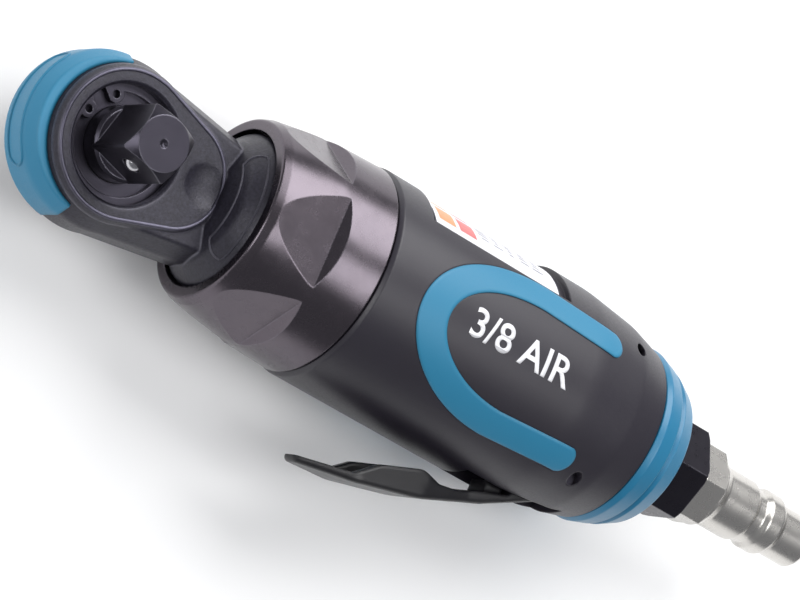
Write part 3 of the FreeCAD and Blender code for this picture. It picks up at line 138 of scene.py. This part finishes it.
def surface(name, base, drift, worn, metallic, roughness, grain, height, rounding, wear=0.5,
            drift_size=9.0, stretch=(1, 1, 1), coat=0.0, rings=None, ring_height=0.0):
    """A finish: hex colours, sizes in millimetres, roughness as (low, high)."""
    material = bpy.data.materials.new(name)
    material.use_nodes = True
    tree = material.node_tree
    tree.nodes.clear()
    place = add(tree, "ShaderNodeTexCoord", {}, {}).outputs["Object"]
    spread = add(tree, "ShaderNodeMapping", {}, {"Vector": place, "Scale": stretch}).outputs["Vector"]
    clouds = add(tree, "ShaderNodeTexNoise", {}, {"Vector": place, "Scale": 1 / (drift_size * MM),
                                                  "Detail": 3.0}).outputs["Fac"]
    grains = add(tree, "ShaderNodeTexNoise", {}, {"Vector": spread, "Scale": 1 / (grain * MM),
                                                  "Detail": 4.0, "Roughness": 0.6}).outputs["Fac"]
    bodied = add(tree, "ShaderNodeMix", {"data_type": "RGBA"},
                 {0: clouds, 6: linear(base), 7: linear(drift)}).outputs[2]
    rounded = add(tree, "ShaderNodeBevel", {"samples": 6}, {"Radius": rounding * MM}).outputs["Normal"]
    true = add(tree, "ShaderNodeNewGeometry", {}, {}).outputs["Normal"]
    facing = add(tree, "ShaderNodeVectorMath", {"operation": "DOT_PRODUCT"},
                 {0: rounded, 1: true}).outputs["Value"]
    edge = add(tree, "ShaderNodeMapRange", {}, {"Value": facing, "From Min": WEAR_STARTS,
                                                "From Max": WEAR_FULL, "To Min": 0.0,
                                                "To Max": wear}).outputs["Result"]
    patchy = add(tree, "ShaderNodeMath", {"operation": "MULTIPLY"},
                 {0: edge, 1: grains}).outputs["Value"]
    coloured = add(tree, "ShaderNodeMix", {"data_type": "RGBA"},
                   {0: patchy, 6: bodied, 7: linear(worn)}).outputs[2]
    rough = add(tree, "ShaderNodeMapRange", {}, {"Value": grains, "From Min": GRAIN_LOW,
                                                 "From Max": GRAIN_HIGH, "To Min": roughness[0],
                                                 "To Max": roughness[1]})
    normal = add(tree, "ShaderNodeBump", {}, {"Height": grains, "Distance": height * MM,
                                              "Normal": rounded}).outputs["Normal"]
    if rings:
        wave = add(tree, "ShaderNodeTexWave", {"wave_type": rings[0], "bands_direction": "X",
                                               "rings_direction": "Z"},
                   {"Vector": place, "Scale": WAVE_PERIOD / (rings[1] * MM),
                    "Distortion": 1.2, "Detail Scale": 2.0}).outputs["Fac"]
        normal = add(tree, "ShaderNodeBump", {}, {"Height": wave, "Distance": ring_height * MM,
                                                  "Normal": normal}).outputs["Normal"]
    shader = add(tree, "ShaderNodeBsdfPrincipled", {},
                 {"Base Color": coloured, "Metallic": metallic, "Roughness": rough.outputs["Result"],
                  "Normal": normal, "Coat Weight": coat, "Coat Roughness": COAT_ROUGHNESS})
    add(tree, "ShaderNodeOutputMaterial", {}, {"Surface": shader.outputs["BSDF"]})
    return material


print("the recipe's waves repeat every", round(WAVE_PERIOD, 3), "units at scale 1")

# %% [markdown]
# The head is a steel forging, blasted and then phosphated black.  Blasting leaves fine pits about
# a third of a millimetre across, and the phosphate takes on them in darker and lighter specks of
# about half a millimetre.  It drinks light except on rubbed edges.

# %% Forged and phosphated steel
blasted = surface("blasted_phosphated_steel", "#0f0d12", "#393744", "#7f7d8a", 0.3, (0.32, 0.50),
                  0.36, 0.06, 0.8, wear=1.0, drift_size=0.5)
print("made", blasted.name)

# %% [markdown]
# The anvil, circlip and knob are turned or stamped steel, blackened in a hot salt bath.  The bath
# leaves a thin dark oxide over bright metal, so these mirror the room in dark, slightly blue
# tones.  The inlet bushing is a darker turned steel.  The collar is polished and plated in black
# nickel, and shows long soft reflections.

# %% Blackened steels
collar_black = surface("polished_black_nickel", "#5a555c", "#625b61", "#a09da8", 1.0, (0.24, 0.29),
                       2.5, 0.001, 0.3, wear=0.6, drift_size=14.0)
oxide_black = surface("hot_blackened_steel", "#37353d", "#403d47", "#9d9ba6", 0.85, (0.28, 0.34),
                      2.0, 0.0008, 0.3, wear=1.0, rings=("RINGS", 0.6), ring_height=0.0015)
bushing_black = surface("blackened_turned_steel", "#2b2930", "#35333b", "#95939c", 0.85, (0.26, 0.32),
                        2.0, 0.0008, 0.35, wear=1.0)
print("made", [m.name for m in (collar_black, oxide_black, bushing_black)])

# %% [markdown]
# The grip is glass-filled nylon, moulded in a tool with a fine spark texture.  It is nearly black,
# but scatters enough light to look like warm dark grey where the studio is bright.

# %% Moulded glass-filled nylon
nylon = surface("moulded_glass_filled_nylon", "#232028", "#29262f", "#3e3b45", 0.0, (0.34, 0.46),
                0.35, 0.012, 0.4, wear=0.4, drift_size=16.0)
print("made", nylon.name)

# %% [markdown]
# The guard on the head and the stripes in the grip are a thermoplastic elastomer, a soft moulded
# rubber with an even colour and a broad, soft sheen.  The ring at the back is the same teal, but
# painted on aluminium, so it is smoother and has a thin clear coat.

# %% Teal elastomer and teal paint
elastomer = surface("moulded_teal_elastomer", "#267b9f", "#217598", "#4397b8", 0.0, (0.40, 0.52),
                    0.35, 0.008, 0.9, wear=0.3, drift_size=20.0)
teal_paint = surface("painted_teal_aluminium", "#1f7399", "#1a6b8f", "#3f93b4", 0.0, (0.32, 0.40),
                     1.0, 0.003, 0.35, wear=0.3, coat=0.1)
print("made", elastomer.name, "and", teal_paint.name)

# %% [markdown]
# The lever is a steel pressing in black powder coat, which flows into a slightly wavy gloss.

# %% Powder-coated lever
powder = surface("black_powder_coat", "#0d0c10", "#111015", "#34333b", 0.0, (0.30, 0.38),
                 1.6, 0.003, 1.1, wear=0.2)
print("made", powder.name)

# %% [markdown]
# The plug is turned steel under satin nickel.  The lathe leaves fine rings along its length, so a
# wave pattern along X stands in for them.  It repeats every half millimetre, a little coarser than
# a real cut, so that it can be seen.  The bearings, gears and bushings inside keep bare metal.

# %% Bright metals
nickel = surface("satin_nickel_plated_steel", "#d0cdc8", "#c6c3be", "#f2f0ea", 1.0, (0.26, 0.29),
                 3.0, 0.0006, 0.35, wear=0.6, rings=("BANDS", 0.5), ring_height=0.0012)
ground = surface("ground_bearing_steel", "#b9b8bb", "#a9a8ad", "#dddde0", 1.0, (0.16, 0.28),
                 0.3, 0.003, 0.15, wear=0.4)
gear = surface("hobbed_hardened_steel", "#8f8d90", "#7d7b80", "#c8c7ca", 1.0, (0.28, 0.42),
               0.3, 0.006, 0.1, wear=0.6)
aluminium = surface("machined_aluminium", "#b5b6b9", "#a6a7ab", "#e0e0e2", 1.0, (0.30, 0.42),
                    0.3, 0.006, 0.2, rings=("BANDS", 0.4), ring_height=0.004)
bronze = surface("sintered_bronze", "#a37a4a", "#8f683c", "#c69b63", 1.0, (0.35, 0.5),
                 0.2, 0.012, 0.15)
brass = surface("turned_brass", "#c2a05a", "#b3914d", "#e2c583", 1.0, (0.22, 0.34),
                0.3, 0.004, 0.15)
print("made", [m.name for m in (nickel, ground, gear, aluminium, bronze, brass)])

# %% [markdown]
# Inside sit a few soft materials: laminated fibre for the vanes, rubber for the seals and pressed
# felt in the silencer.  They are hardly seen, yet each gets its own grain.

# %% Fibre, rubber and felt
fibre = surface("laminated_fibre", "#4e3523", "#5c4230", "#7d6048", 0.0, (0.5, 0.7), 0.3, 0.02, 0.1,
                stretch=(1, 1, 6))
rubber = surface("black_nitrile_rubber", "#1a1a1c", "#222225", "#2c2c30", 0.0, (0.5, 0.65),
                 0.25, 0.008, 0.1)
felt = surface("pressed_felt", "#6d6a64", "#7b7770", "#8b877f", 0.0, (0.85, 0.98),
               0.25, 0.12, 0.1)
print("made", fibre.name, rubber.name, felt.name)

# %% [markdown]
# The label is a smooth white plastic film with a clear laminate over its print, so it gets a thin
# coat and hardly any grain.

# %% Label film
film_white = surface("white_label_film", "#e3e3e9", "#d9d9e0", "#f4f4f8", 0.0, (0.26, 0.36),
                     0.6, 0.003, 0.05, coat=0.5)
print("made", film_white.name)

# %% [markdown]
# The frame names a finish for every piece.  A table joins those names to the materials above.

# %% Which finish goes on which piece
FINISHES = {
    "forged_black": blasted, "teal_elastomer": elastomer, "teal_anodised": teal_paint,
    "black_anodised": bushing_black, "black_composite": nylon, "black_lever": powder,
    "black_oxide": oxide_black, "nickel": nickel, "bright_steel": ground, "gear_steel": gear,
    "cast_aluminium": aluminium, "bronze": bronze, "brass": brass, "fibre": fibre,
    "black_rubber": rubber, "felt": felt, "label_film": film_white,
}
slots = {row["node"]: row["material_slot"] for row in frame["record"]["subparts"]}
for name, piece in frame["nodes"].items():
    piece.data.materials.clear()
    piece.data.materials.append(FINISHES[slots[name]])
print("finishes set on", len(slots), "pieces")

# %% [markdown]
# A frame piece is made of loose triangles, and shades as flat facets.  For every piece that the
# eye can reach, a copy is welded at its shared corners, shaded smooth, and left sharp only where
# two faces meet at a real edge.  Weighted normals keep the flat faces flat next to small fillets.
# The copy then stands for the frame's piece.

# %% Smooth copies of the outer pieces
OUTER = ["ratchet_head", "head_bumper", "head_circlip", "front_thrust_washer", "anvil", "detent_ball",
         "reverse_knob", "clamp_collar", "motor_housing", "throttle_lever", "lever_pin", "valve_pin",
         "grip_shell", "side_inlay_drive_side", "side_inlay_knob_side", "label", "exhaust_deflector",
         "deflector_washer", "inlet_bushing", "seal_washer", "air_plug"]


# angle in degrees above which an edge stays sharp: low where a flat runs out into a cone, high
# where a soft moulding should look round
CREASE = {"clamp_collar": 7, "head_bumper": 50, "exhaust_deflector": 35, "ratchet_head": 30}
USUAL_CREASE = 24
WELD_GAP = 0.0005 * MM      # corners closer than this are one corner


def welded(source, name, crease):
    """A new mesh from a frame piece, with its corners joined and smooth shading."""
    work = bmesh.new()
    work.from_mesh(source.data)
    bmesh.ops.remove_doubles(work, verts=work.verts, dist=WELD_GAP)
    mesh = bpy.data.meshes.new(name)
    work.verts.index_update()
    mesh.from_pydata([v.co for v in work.verts], [],
                     [[v.index for v in f.verts] for f in work.faces])
    work.free()
    mesh.polygons.foreach_set("use_smooth", [True] * len(mesh.polygons))
    mesh.set_sharp_from_angle(angle=math.radians(crease))
    return mesh


def attach(piece, like):
    """Let a new piece ride on the body that a frame piece belongs to."""
    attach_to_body(piece, frame["nodes"][like]["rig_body"])
    return piece


shells = {}
for name in OUTER:
    mesh = welded(frame["nodes"][name], name + "_surface", CREASE.get(name, USUAL_CREASE))
    mesh.materials.append(collar_black if name == "clamp_collar" else FINISHES[slots[name]])
    shell = bpy.data.objects.new(name + "_surface", mesh)
    bpy.context.scene.collection.objects.link(shell)
    evened = shell.modifiers.new("even_normals", "WEIGHTED_NORMAL")
    evened.keep_sharp = True
    shells[name] = shell
    attach(shell, name)
    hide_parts(name)
print("smooth copies:", len(shells))

# %% [markdown]
# Thin raised outlines, such as the one round a blank name plate, follow the surface below them.
# Each is drawn as a closed line of points dropped on to the piece, and Geometry Nodes sweep a small
# round profile along it.  The profile's radius is a named input of the tree.

# %% A tree that sweeps a bead along a line
BEAD_SIDES = 10


def bead_tree():
    """A round profile swept along the edges of a mesh."""
    tree = bpy.data.node_groups.new("bead_along_line", "GeometryNodeTree")
    tree.interface.new_socket("Geometry", in_out="INPUT", socket_type="NodeSocketGeometry")
    tree.interface.new_socket("Bead radius", in_out="INPUT", socket_type="NodeSocketFloat")
    tree.interface.new_socket("Finish", in_out="INPUT", socket_type="NodeSocketMaterial")
    tree.interface.new_socket("Geometry", in_out="OUTPUT", socket_type="NodeSocketGeometry")
    given = add(tree, "NodeGroupInput", {}, {}).outputs
    line = add(tree, "GeometryNodeMeshToCurve", {}, {"Mesh": given["Geometry"]}).outputs["Curve"]
    ring = add(tree, "GeometryNodeCurvePrimitiveCircle", {},
               {"Resolution": BEAD_SIDES, "Radius": given["Bead radius"]}).outputs["Curve"]
    swept = add(tree, "GeometryNodeCurveToMesh", {},
                {"Curve": line, "Profile Curve": ring}).outputs["Mesh"]
    smooth = add(tree, "GeometryNodeSetShadeSmooth", {}, {"Geometry": swept}).outputs["Geometry"]
    real = add(tree, "GeometryNodeRealizeInstances", {}, {"Geometry": smooth}).outputs["Geometry"]
    painted = add(tree, "GeometryNodeSetMaterial", {},
                  {"Geometry": real, "Material": given["Finish"]})
    add(tree, "NodeGroupOutput", {}, {"Geometry": painted.outputs["Geometry"]})
    return tree


BEAD = bead_tree()
print("bead tree has", len(BEAD.nodes), "nodes")

# %% [markdown]
# Two helpers go with it.  One runs a tree on a mesh and keeps the result as a plain mesh, because
# a modifier would be lost on the way out.  The other turns a list of points into a finished bead.
# A piece's own surface is put into a search tree, so that rays can find points on it.

# %% From points to a bead on a surface


def grown(name, mesh, tree, values):
    """Run a tree on a mesh and keep the result as a plain piece."""
    rough_piece = bpy.data.objects.new(name, mesh)
    bpy.context.scene.collection.objects.link(rough_piece)
    modifier = rough_piece.modifiers.new("grow", "NODES")
    modifier.node_group = tree
    for item in tree.interface.items_tree:
        if item.in_out == "INPUT" and item.name in values:
            modifier[item.identifier] = values[item.name]
    bpy.context.view_layer.update()
    seen = rough_piece.evaluated_get(bpy.context.evaluated_depsgraph_get())
    result = bpy.data.meshes.new_from_object(seen)
    rough_piece.modifiers.clear()
    rough_piece.data = result
    return rough_piece


def bead(name, points, radius, finish, like):
    """A closed bead through points, on the body of a frame piece."""
    line = bpy.data.meshes.new(name + "_line")
    line.from_pydata(points, [(i, (i + 1) % len(points)) for i in range(len(points))], [])
    piece = grown(name, line, BEAD, {"Bead radius": radius, "Finish": finish})
    print(name, "has", len(piece.data.polygons), "faces")
    return attach(piece, like)


def skin(name):
    """A search tree of a piece's surface, to drop points on."""
    return BVHTree.FromPolygons([v.co for v in shells[name].data.vertices],
                                [p.vertices for p in shells[name].data.polygons])


def oblong(half_length, half_width, end_steps=24, side_steps=32):
    """Points of a flat oblong with round ends, as (along, across), close enough to bend with."""
    straight = half_length - half_width
    points = []
    for end in (1, -1):
        for i in range(end_steps):
            angle = math.pi * i / (end_steps - 1) - math.pi / 2
            points.append((end * (straight + half_width * math.cos(angle)),
                           end * half_width * math.sin(angle)))
        for i in range(1, side_steps):
            points.append((end * straight * (1 - 2 * i / side_steps), end * half_width))
    return points


print("an oblong is drawn with", len(oblong(2 * MM, 1 * MM)), "points")

# %% [markdown]
# On the slope between the head and the collar, the forging carries a long raised frame for a name.
# The name is left out, and the frame stays blank.  The slope is round about the tool's axis, so
# each point is found by looking straight in towards that axis.

# %% Blank name frame on the neck
neck_skin = skin("ratchet_head")
NECK_R = 12.6 * MM
NAME_X, NAME_AROUND = 21.6 * MM, -0.5 * MM      # the frame's middle: along the tool, and round it
NAME_HALF_LENGTH, NAME_HALF_WIDTH = 10.8 * MM, 1.25 * MM


def on_neck(x, arc):
    """The point of the neck at x, and at a distance round it from the top."""
    out = Vector((0, math.sin(arc / NECK_R), math.cos(arc / NECK_R)))
    return neck_skin.ray_cast(Vector((x, 0, AXIS_Z)) + out * OUTSIDE, -out)[0]


neck_points = [on_neck(NAME_X + across, NAME_AROUND + along)
               for along, across in oblong(NAME_HALF_LENGTH, NAME_HALF_WIDTH)]
bead("neck_name_frame", neck_points, 0.2 * MM, blasted, "ratchet_head")

# %% [markdown]
# The flat land round the drive ends in a rim that stands a little proud and has been rubbed paler.
# Its colour is also made lighter than the wear alone, a painted highlight for the edge catching the
# light.
# Its line is a large arc round the drive joined to a smaller arc towards the neck, both set in a
# little from the land's own edge.

# %% Rim of the land
LAND_R, LAND_END_R, LAND_END_X = 12.8 * MM, 9.6 * MM, 10.4 * MM
RIM_INSET, RIM_SUNK = 0.35 * MM, 0.15 * MM
ON_LAND = Vector((0, 11.5 * MM, OUTSIDE))       # straight above the land, beside the drive


def arc(centre_x, radius, start, end, steps, height):
    """Points on a level arc whose centre is on the tool's long line."""
    turns = [start + (end - start) * i / (steps - 1) for i in range(steps)]
    return [Vector((centre_x + radius * math.cos(t), radius * math.sin(t), height)) for t in turns]


rim_z = neck_skin.ray_cast(ON_LAND, Vector((0, 0, -1)))[0].z - RIM_SUNK
lean = math.acos((LAND_R - LAND_END_R) / LAND_END_X)
rim_points = (arc(0, LAND_R - RIM_INSET, lean, 2 * math.pi - lean, 64, rim_z)
              + arc(LAND_END_X, LAND_END_R - RIM_INSET, -lean, lean, 48, rim_z))
# painted highlight: the rim's colour is rubbed steel made lighter still, standing in for the edge
# catching the light
rim_wear_and_highlight = surface("rubbed_steel_painted_highlight", "#4c4a57", "#5c5a68", "#a3a1b0", 0.7, (0.26, 0.42),
                 0.5, 0.03, 0.2, wear=0.6)
bead("land_rim", rim_points, 0.4 * MM, rim_wear_and_highlight, "ratchet_head")

# %% [markdown]
# The soft guard has a long oval panel on its outside.  Its rim is a bead that follows the guard's
# round nose, found by looking inwards from all around.

# %% Oval panel on the guard
guard_skin = skin("head_bumper")
GUARD_R = 17 * MM
PANEL_Z = AXIS_Z - 2.4 * MM
PANEL_HALF_LENGTH, PANEL_HALF_WIDTH = 11.5 * MM, 2.2 * MM


def on_guard(around, z):
    """The point of the guard at a distance round it from the tip, and at a height."""
    angle = math.pi + around / GUARD_R
    out = Vector((math.cos(angle), math.sin(angle), 0))
    return guard_skin.ray_cast(out * OUTSIDE + Vector((0, 0, z)), -out)[0]


guard_points = [on_guard(along, PANEL_Z + across)
                for along, across in oblong(PANEL_HALF_LENGTH, PANEL_HALF_WIDTH)]
bead("guard_panel_rim", guard_points, 0.26 * MM, elastomer, "head_bumper")

# %% [markdown]
# White print is a film of ink a few hundredths of a millimetre thick.  Letters come from a text
# curve made into a mesh.  It is sliced into narrow strips so that it can bend round the grip, and
# is then given its thickness.

# %% Ink
ink = surface("white_pad_printed_ink", "#e9e9ec", "#dfdfe3", "#ffffff", 0.0, (0.40, 0.55),
              0.3, 0.004, 0.02)
GRIP_R = (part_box("grip_shell")[1].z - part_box("grip_shell")[0].z) / 2
print("grip radius", round(GRIP_R / MM, 2), "mm")

# %% [markdown]
# The grip carries only the drive's size and the word for the power it runs on, on both broad
# faces.  Each letter is cut into strips before it is bent, since a large flat face can't bend.

# %% Size mark on the grip
MARK, MARK_HEIGHT, MARK_X = "3/8 AIR", 7.4 * MM, 77 * MM
MARK_BOLDER = 0.012         # how much the strokes grow, as a share of the height
STRIP, STRIPS_EACH_WAY = 0.4 * MM, 12
INK_LIFT, INK_THICKNESS = 0.03 * MM, 0.05 * MM


def printed(name, text, height, middle_x, side):
    """Text along the grip, on its +Z face (side 1) or its -Z face (side -1)."""
    letters = bpy.data.curves.new(name, "FONT")
    letters.body = text
    letters.size = height
    letters.align_x = "CENTER"
    letters.align_y = "CENTER"
    letters.offset = height * MARK_BOLDER
    holder = bpy.data.objects.new(name, letters)
    bpy.context.scene.collection.objects.link(holder)
    bpy.context.view_layer.update()
    seen = holder.evaluated_get(bpy.context.evaluated_depsgraph_get())
    flat = bpy.data.meshes.new_from_object(seen)
    bpy.data.objects.remove(holder)
    work = bmesh.new()
    work.from_mesh(flat)
    for i in range(-STRIPS_EACH_WAY, STRIPS_EACH_WAY + 1):
        everything = work.verts[:] + work.edges[:] + work.faces[:]
        bmesh.ops.bisect_plane(work, geom=everything, plane_co=(0, i * STRIP, 0), plane_no=(0, 1, 0))
    lifted = GRIP_R + INK_LIFT
    for v in work.verts:
        turn = v.co.y / GRIP_R
        v.co = Vector((middle_x + v.co.x, lifted * math.sin(turn) * side,
                       AXIS_Z + lifted * math.cos(turn) * side))
    bmesh.ops.recalc_face_normals(work, faces=work.faces)
    for f in work.faces:
        if f.normal.z * side < 0:
            f.normal_flip()
    work.to_mesh(flat)
    work.free()
    flat.materials.append(ink)
    piece = bpy.data.objects.new(name, flat)
    bpy.context.scene.collection.objects.link(piece)
    film = piece.modifiers.new("film", "SOLIDIFY")
    film.thickness = INK_THICKNESS
    film.offset = 0
    print(name, "has", len(flat.polygons), "faces")
    return attach(piece, "grip_shell")


printed("size_print_drive_side", MARK, MARK_HEIGHT, MARK_X, 1)
printed("size_print_knob_side", MARK, MARK_HEIGHT, MARK_X, -1)

# %% [markdown]
# The label carries warning panels at its front end and lines of small print behind.  The panels
# stay blank, and the small print is drawn as short grey bars.  Bars are laid out flat, each gets
# its own length from a fixed seed, and the whole sheet is then wrapped round the grip's axis.

# %% Inks and size of the label
grey_ink = surface("grey_label_print", "#8d8d96", "#7d7d88", "#9a9aa3", 0.0, (0.35, 0.45),
                   0.3, 0.002, 0.02)
orange_ink = surface("orange_label_print", "#d9915c", "#cf8350", "#e2a77c", 0.0, (0.3, 0.4),
                     0.3, 0.002, 0.02)
red_ink = surface("red_label_print", "#c9605f", "#bd5454", "#da8382", 0.0, (0.3, 0.4),
                  0.3, 0.002, 0.02)
label_low, label_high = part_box("label")
LABEL_R = label_high.y
print("label is", round((label_high.x - label_low.x) / MM, 1), "mm long")
print("its radius is", round(LABEL_R / MM, 2), "mm")

# %% [markdown]
# The bars repeat, so one small tree makes them all.  The wrap is plain trigonometry on each
# point's position: the distance across the sheet, divided by the radius, is the angle.

# %% A tree that lays bars and wraps them
SHORTEST_BAR = 0.35         # as a share of the full length
PRINT_SEED = 7


def bars_tree():
    """Rows of bars on a flat sheet, wrapped round the tool's axis."""
    tree = bpy.data.node_groups.new("print_round_axis", "GeometryNodeTree")
    tree.interface.new_socket("Geometry", in_out="INPUT", socket_type="NodeSocketGeometry")
    for name in ("Radius", "Axis height", "Bar height", "Bar length"):
        tree.interface.new_socket(name, in_out="INPUT", socket_type="NodeSocketFloat")
    tree.interface.new_socket("Finish", in_out="INPUT", socket_type="NodeSocketMaterial")
    tree.interface.new_socket("Geometry", in_out="OUTPUT", socket_type="NodeSocketGeometry")
    given = add(tree, "NodeGroupInput", {}, {}).outputs
    bar = add(tree, "GeometryNodeMeshGrid", {},
              {"Size X": given["Bar length"], "Size Y": given["Bar height"],
               "Vertices X": 2, "Vertices Y": 4}).outputs["Mesh"]
    stretch = add(tree, "FunctionNodeRandomValue", {"data_type": "FLOAT_VECTOR"},
                  {0: (SHORTEST_BAR, 1, 1), 1: (1, 1, 1), "Seed": PRINT_SEED}).outputs[0]
    laid = add(tree, "GeometryNodeInstanceOnPoints", {},
               {"Points": given["Geometry"], "Instance": bar, "Scale": stretch}).outputs["Instances"]
    real = add(tree, "GeometryNodeRealizeInstances", {}, {"Geometry": laid}).outputs["Geometry"]
    at = add(tree, "GeometryNodeInputPosition", {}, {}).outputs["Position"]
    parts = add(tree, "ShaderNodeSeparateXYZ", {}, {"Vector": at}).outputs
    turn = add(tree, "ShaderNodeMath", {"operation": "DIVIDE"},
               {0: parts["Y"], 1: given["Radius"]}).outputs[0]
    sine = add(tree, "ShaderNodeMath", {"operation": "SINE"}, {0: turn}).outputs[0]
    cosine = add(tree, "ShaderNodeMath", {"operation": "COSINE"}, {0: turn}).outputs[0]
    out_y = add(tree, "ShaderNodeMath", {"operation": "MULTIPLY"},
                {0: cosine, 1: given["Radius"]}).outputs[0]
    out_z = add(tree, "ShaderNodeMath", {"operation": "MULTIPLY_ADD"},
                {0: sine, 1: given["Radius"], 2: given["Axis height"]}).outputs[0]
    wrapped = add(tree, "ShaderNodeCombineXYZ", {},
                  {"X": parts["X"], "Y": out_y, "Z": out_z}).outputs[0]
    moved = add(tree, "GeometryNodeSetPosition", {},
                {"Geometry": real, "Position": wrapped}).outputs["Geometry"]
    flipped = add(tree, "GeometryNodeFlipFaces", {}, {"Mesh": moved}).outputs["Mesh"]
    painted = add(tree, "GeometryNodeSetMaterial", {},
                  {"Geometry": flipped, "Material": given["Finish"]})
    add(tree, "NodeGroupOutput", {}, {"Geometry": painted.outputs["Geometry"]})
    return tree


BARS = bars_tree()
print("bar tree has", len(BARS.nodes), "nodes")

# %% [markdown]
# The layout is given as columns along the tool and rows round it.  Every fifth row of the small
# print is left empty, so that the lines fall into blocks.

# %% Print on the label
PRINT_LIFT = 0.02 * MM
TEXT_COLUMNS = [(12.2 + 3.1 * i) * MM for i in range(5)]
TEXT_ROWS = [1.25 * MM * j for j in range(-10, 11) if j % 5]
PANEL_ROWS = [5.6 * MM * j for j in (-2, -1, 0, 1, 2)]
PANEL_SIZE = (4.0 * MM, 4.4 * MM)


def label_print(name, columns, rows, size, finish):
    """Bars of one (length, height) at distances from the label's front end and round its middle."""
    points = bpy.data.meshes.new(name + "_points")
    spots = [(label_low.x + along, around, 0) for along in columns for around in rows]
    points.from_pydata(spots, [], [])
    piece = grown(name, points, BARS, {"Radius": LABEL_R + PRINT_LIFT, "Axis height": AXIS_Z,
                                       "Bar length": size[0], "Bar height": size[1], "Finish": finish})
    print(name, "has", len(piece.data.polygons), "faces")
    return attach(piece, "label")


label_print("label_text", TEXT_COLUMNS, TEXT_ROWS, (2.7 * MM, 0.5 * MM), grey_ink)
label_print("label_caution_panels", [3.0 * MM], PANEL_ROWS, PANEL_SIZE, orange_ink)
label_print("label_warning_panels", [7.8 * MM], PANEL_ROWS, PANEL_SIZE, red_ink)

# %% [markdown]
# The tool lies on a plain pale table, at the height of its lowest point.  Matt paper scatters
# light evenly, so it stays quiet under the dark tool.

# %% Table
table_z = size_at_load[0][2]
TABLE_HALF = 4.0            # metres
table_mesh = bpy.data.meshes.new("table")
table_mesh.from_pydata([(x * TABLE_HALF, y * TABLE_HALF, table_z)
                        for x, y in ((-1, -1), (1, -1), (1, 1), (-1, 1))], [], [(0, 1, 2, 3)])
table_paper = bpy.data.materials.new("white_matt_paper")
table_paper.use_nodes = True
paper = table_paper.node_tree
sheet = paper.nodes["Principled BSDF"].inputs
fibres = add(paper, "ShaderNodeTexNoise", {}, {"Scale": 1 / (0.6 * MM)}).outputs["Fac"]
paper_rough = add(paper, "ShaderNodeMapRange", {}, {"Value": fibres, "To Min": 0.7, "To Max": 0.9})
paper.links.new(paper_rough.outputs["Result"], sheet["Roughness"])
sheet["Base Color"].default_value = linear("#fbfbfb")
sheet["Specular IOR Level"].default_value = 0.1
table_mesh.materials.append(table_paper)
table = bpy.data.objects.new("table", table_mesh)
bpy.context.scene.collection.objects.link(table)
print("table is", round(-table_z / MM, 2), "mm below the origin")

# %% [markdown]
# The light is soft, as in a product studio.  A broad panel on the label's side gives the long pale
# reflection on that flank, a weaker one from the front fills the head, and one overhead evens the
# table.  Their powers are in watts.

# %% Soft light
middle = sum((Vector(c) for c in size_at_load), Vector()) / 2


def panel(name, offset, size, power):
    """A square light at an offset in metres from the tool's middle, aimed at it."""
    light = bpy.data.lights.new(name, "AREA")
    light.shape = "SQUARE"
    light.size = size
    light.energy = power
    holder = bpy.data.objects.new(name, light)
    holder.location = middle + Vector(offset)
    holder.rotation_euler = Vector(offset).to_track_quat("Z", "Y").to_euler()
    bpy.context.scene.collection.objects.link(holder)


panel("key_panel", (0.10, 0.60, 0.55), 0.7, 8)
panel("front_panel", (-0.60, -0.15, 0.45), 0.35, 2)
panel("top_panel", (0.25, -0.10, 0.95), 0.5, 3.5)
studio = bpy.data.worlds.new("studio")
studio.use_nodes = True
sky = studio.node_tree.nodes["Background"].inputs
sky["Color"].default_value = linear("#e8eaf0")
sky["Strength"].default_value = 0.3
bpy.context.scene.world = studio
bpy.context.scene.view_settings.view_transform = "Standard"

# %% [markdown]
# A long lens from above the head's front corner looks at the square drive, with the whole tool
# running away to the right.

# %% Camera
RIGHT = Vector((0.7491, 0.3792, 0.5432))
UP = Vector((-0.4384, 0.8985, -0.0227))
BACK = Vector((-0.4966, -0.2212, 0.8393))
CAMERA_AT = Vector((-298.85, -159.08, 605.14)) * MM
FOCAL_MM, SENSOR_MM = 189, 36
lens = bpy.data.cameras.new("camera")
lens.lens = FOCAL_MM
lens.sensor_width = SENSOR_MM
lens.clip_start = 10 * MM
camera = bpy.data.objects.new("camera", lens)
turned = Matrix((RIGHT, UP, BACK)).transposed().to_4x4()
turned.translation = CAMERA_AT
camera.matrix_world = turned
bpy.context.scene.collection.objects.link(camera)
bpy.context.scene.camera = camera
print("camera is", round(camera.location.length, 3), "m away")

# %% [markdown]
# The raised outline on the guard stands proud of the frame's box by a fraction of a millimetre.
# The scene is brought up to date.

# %% Bring the scene up to date
bpy.context.view_layer.update()
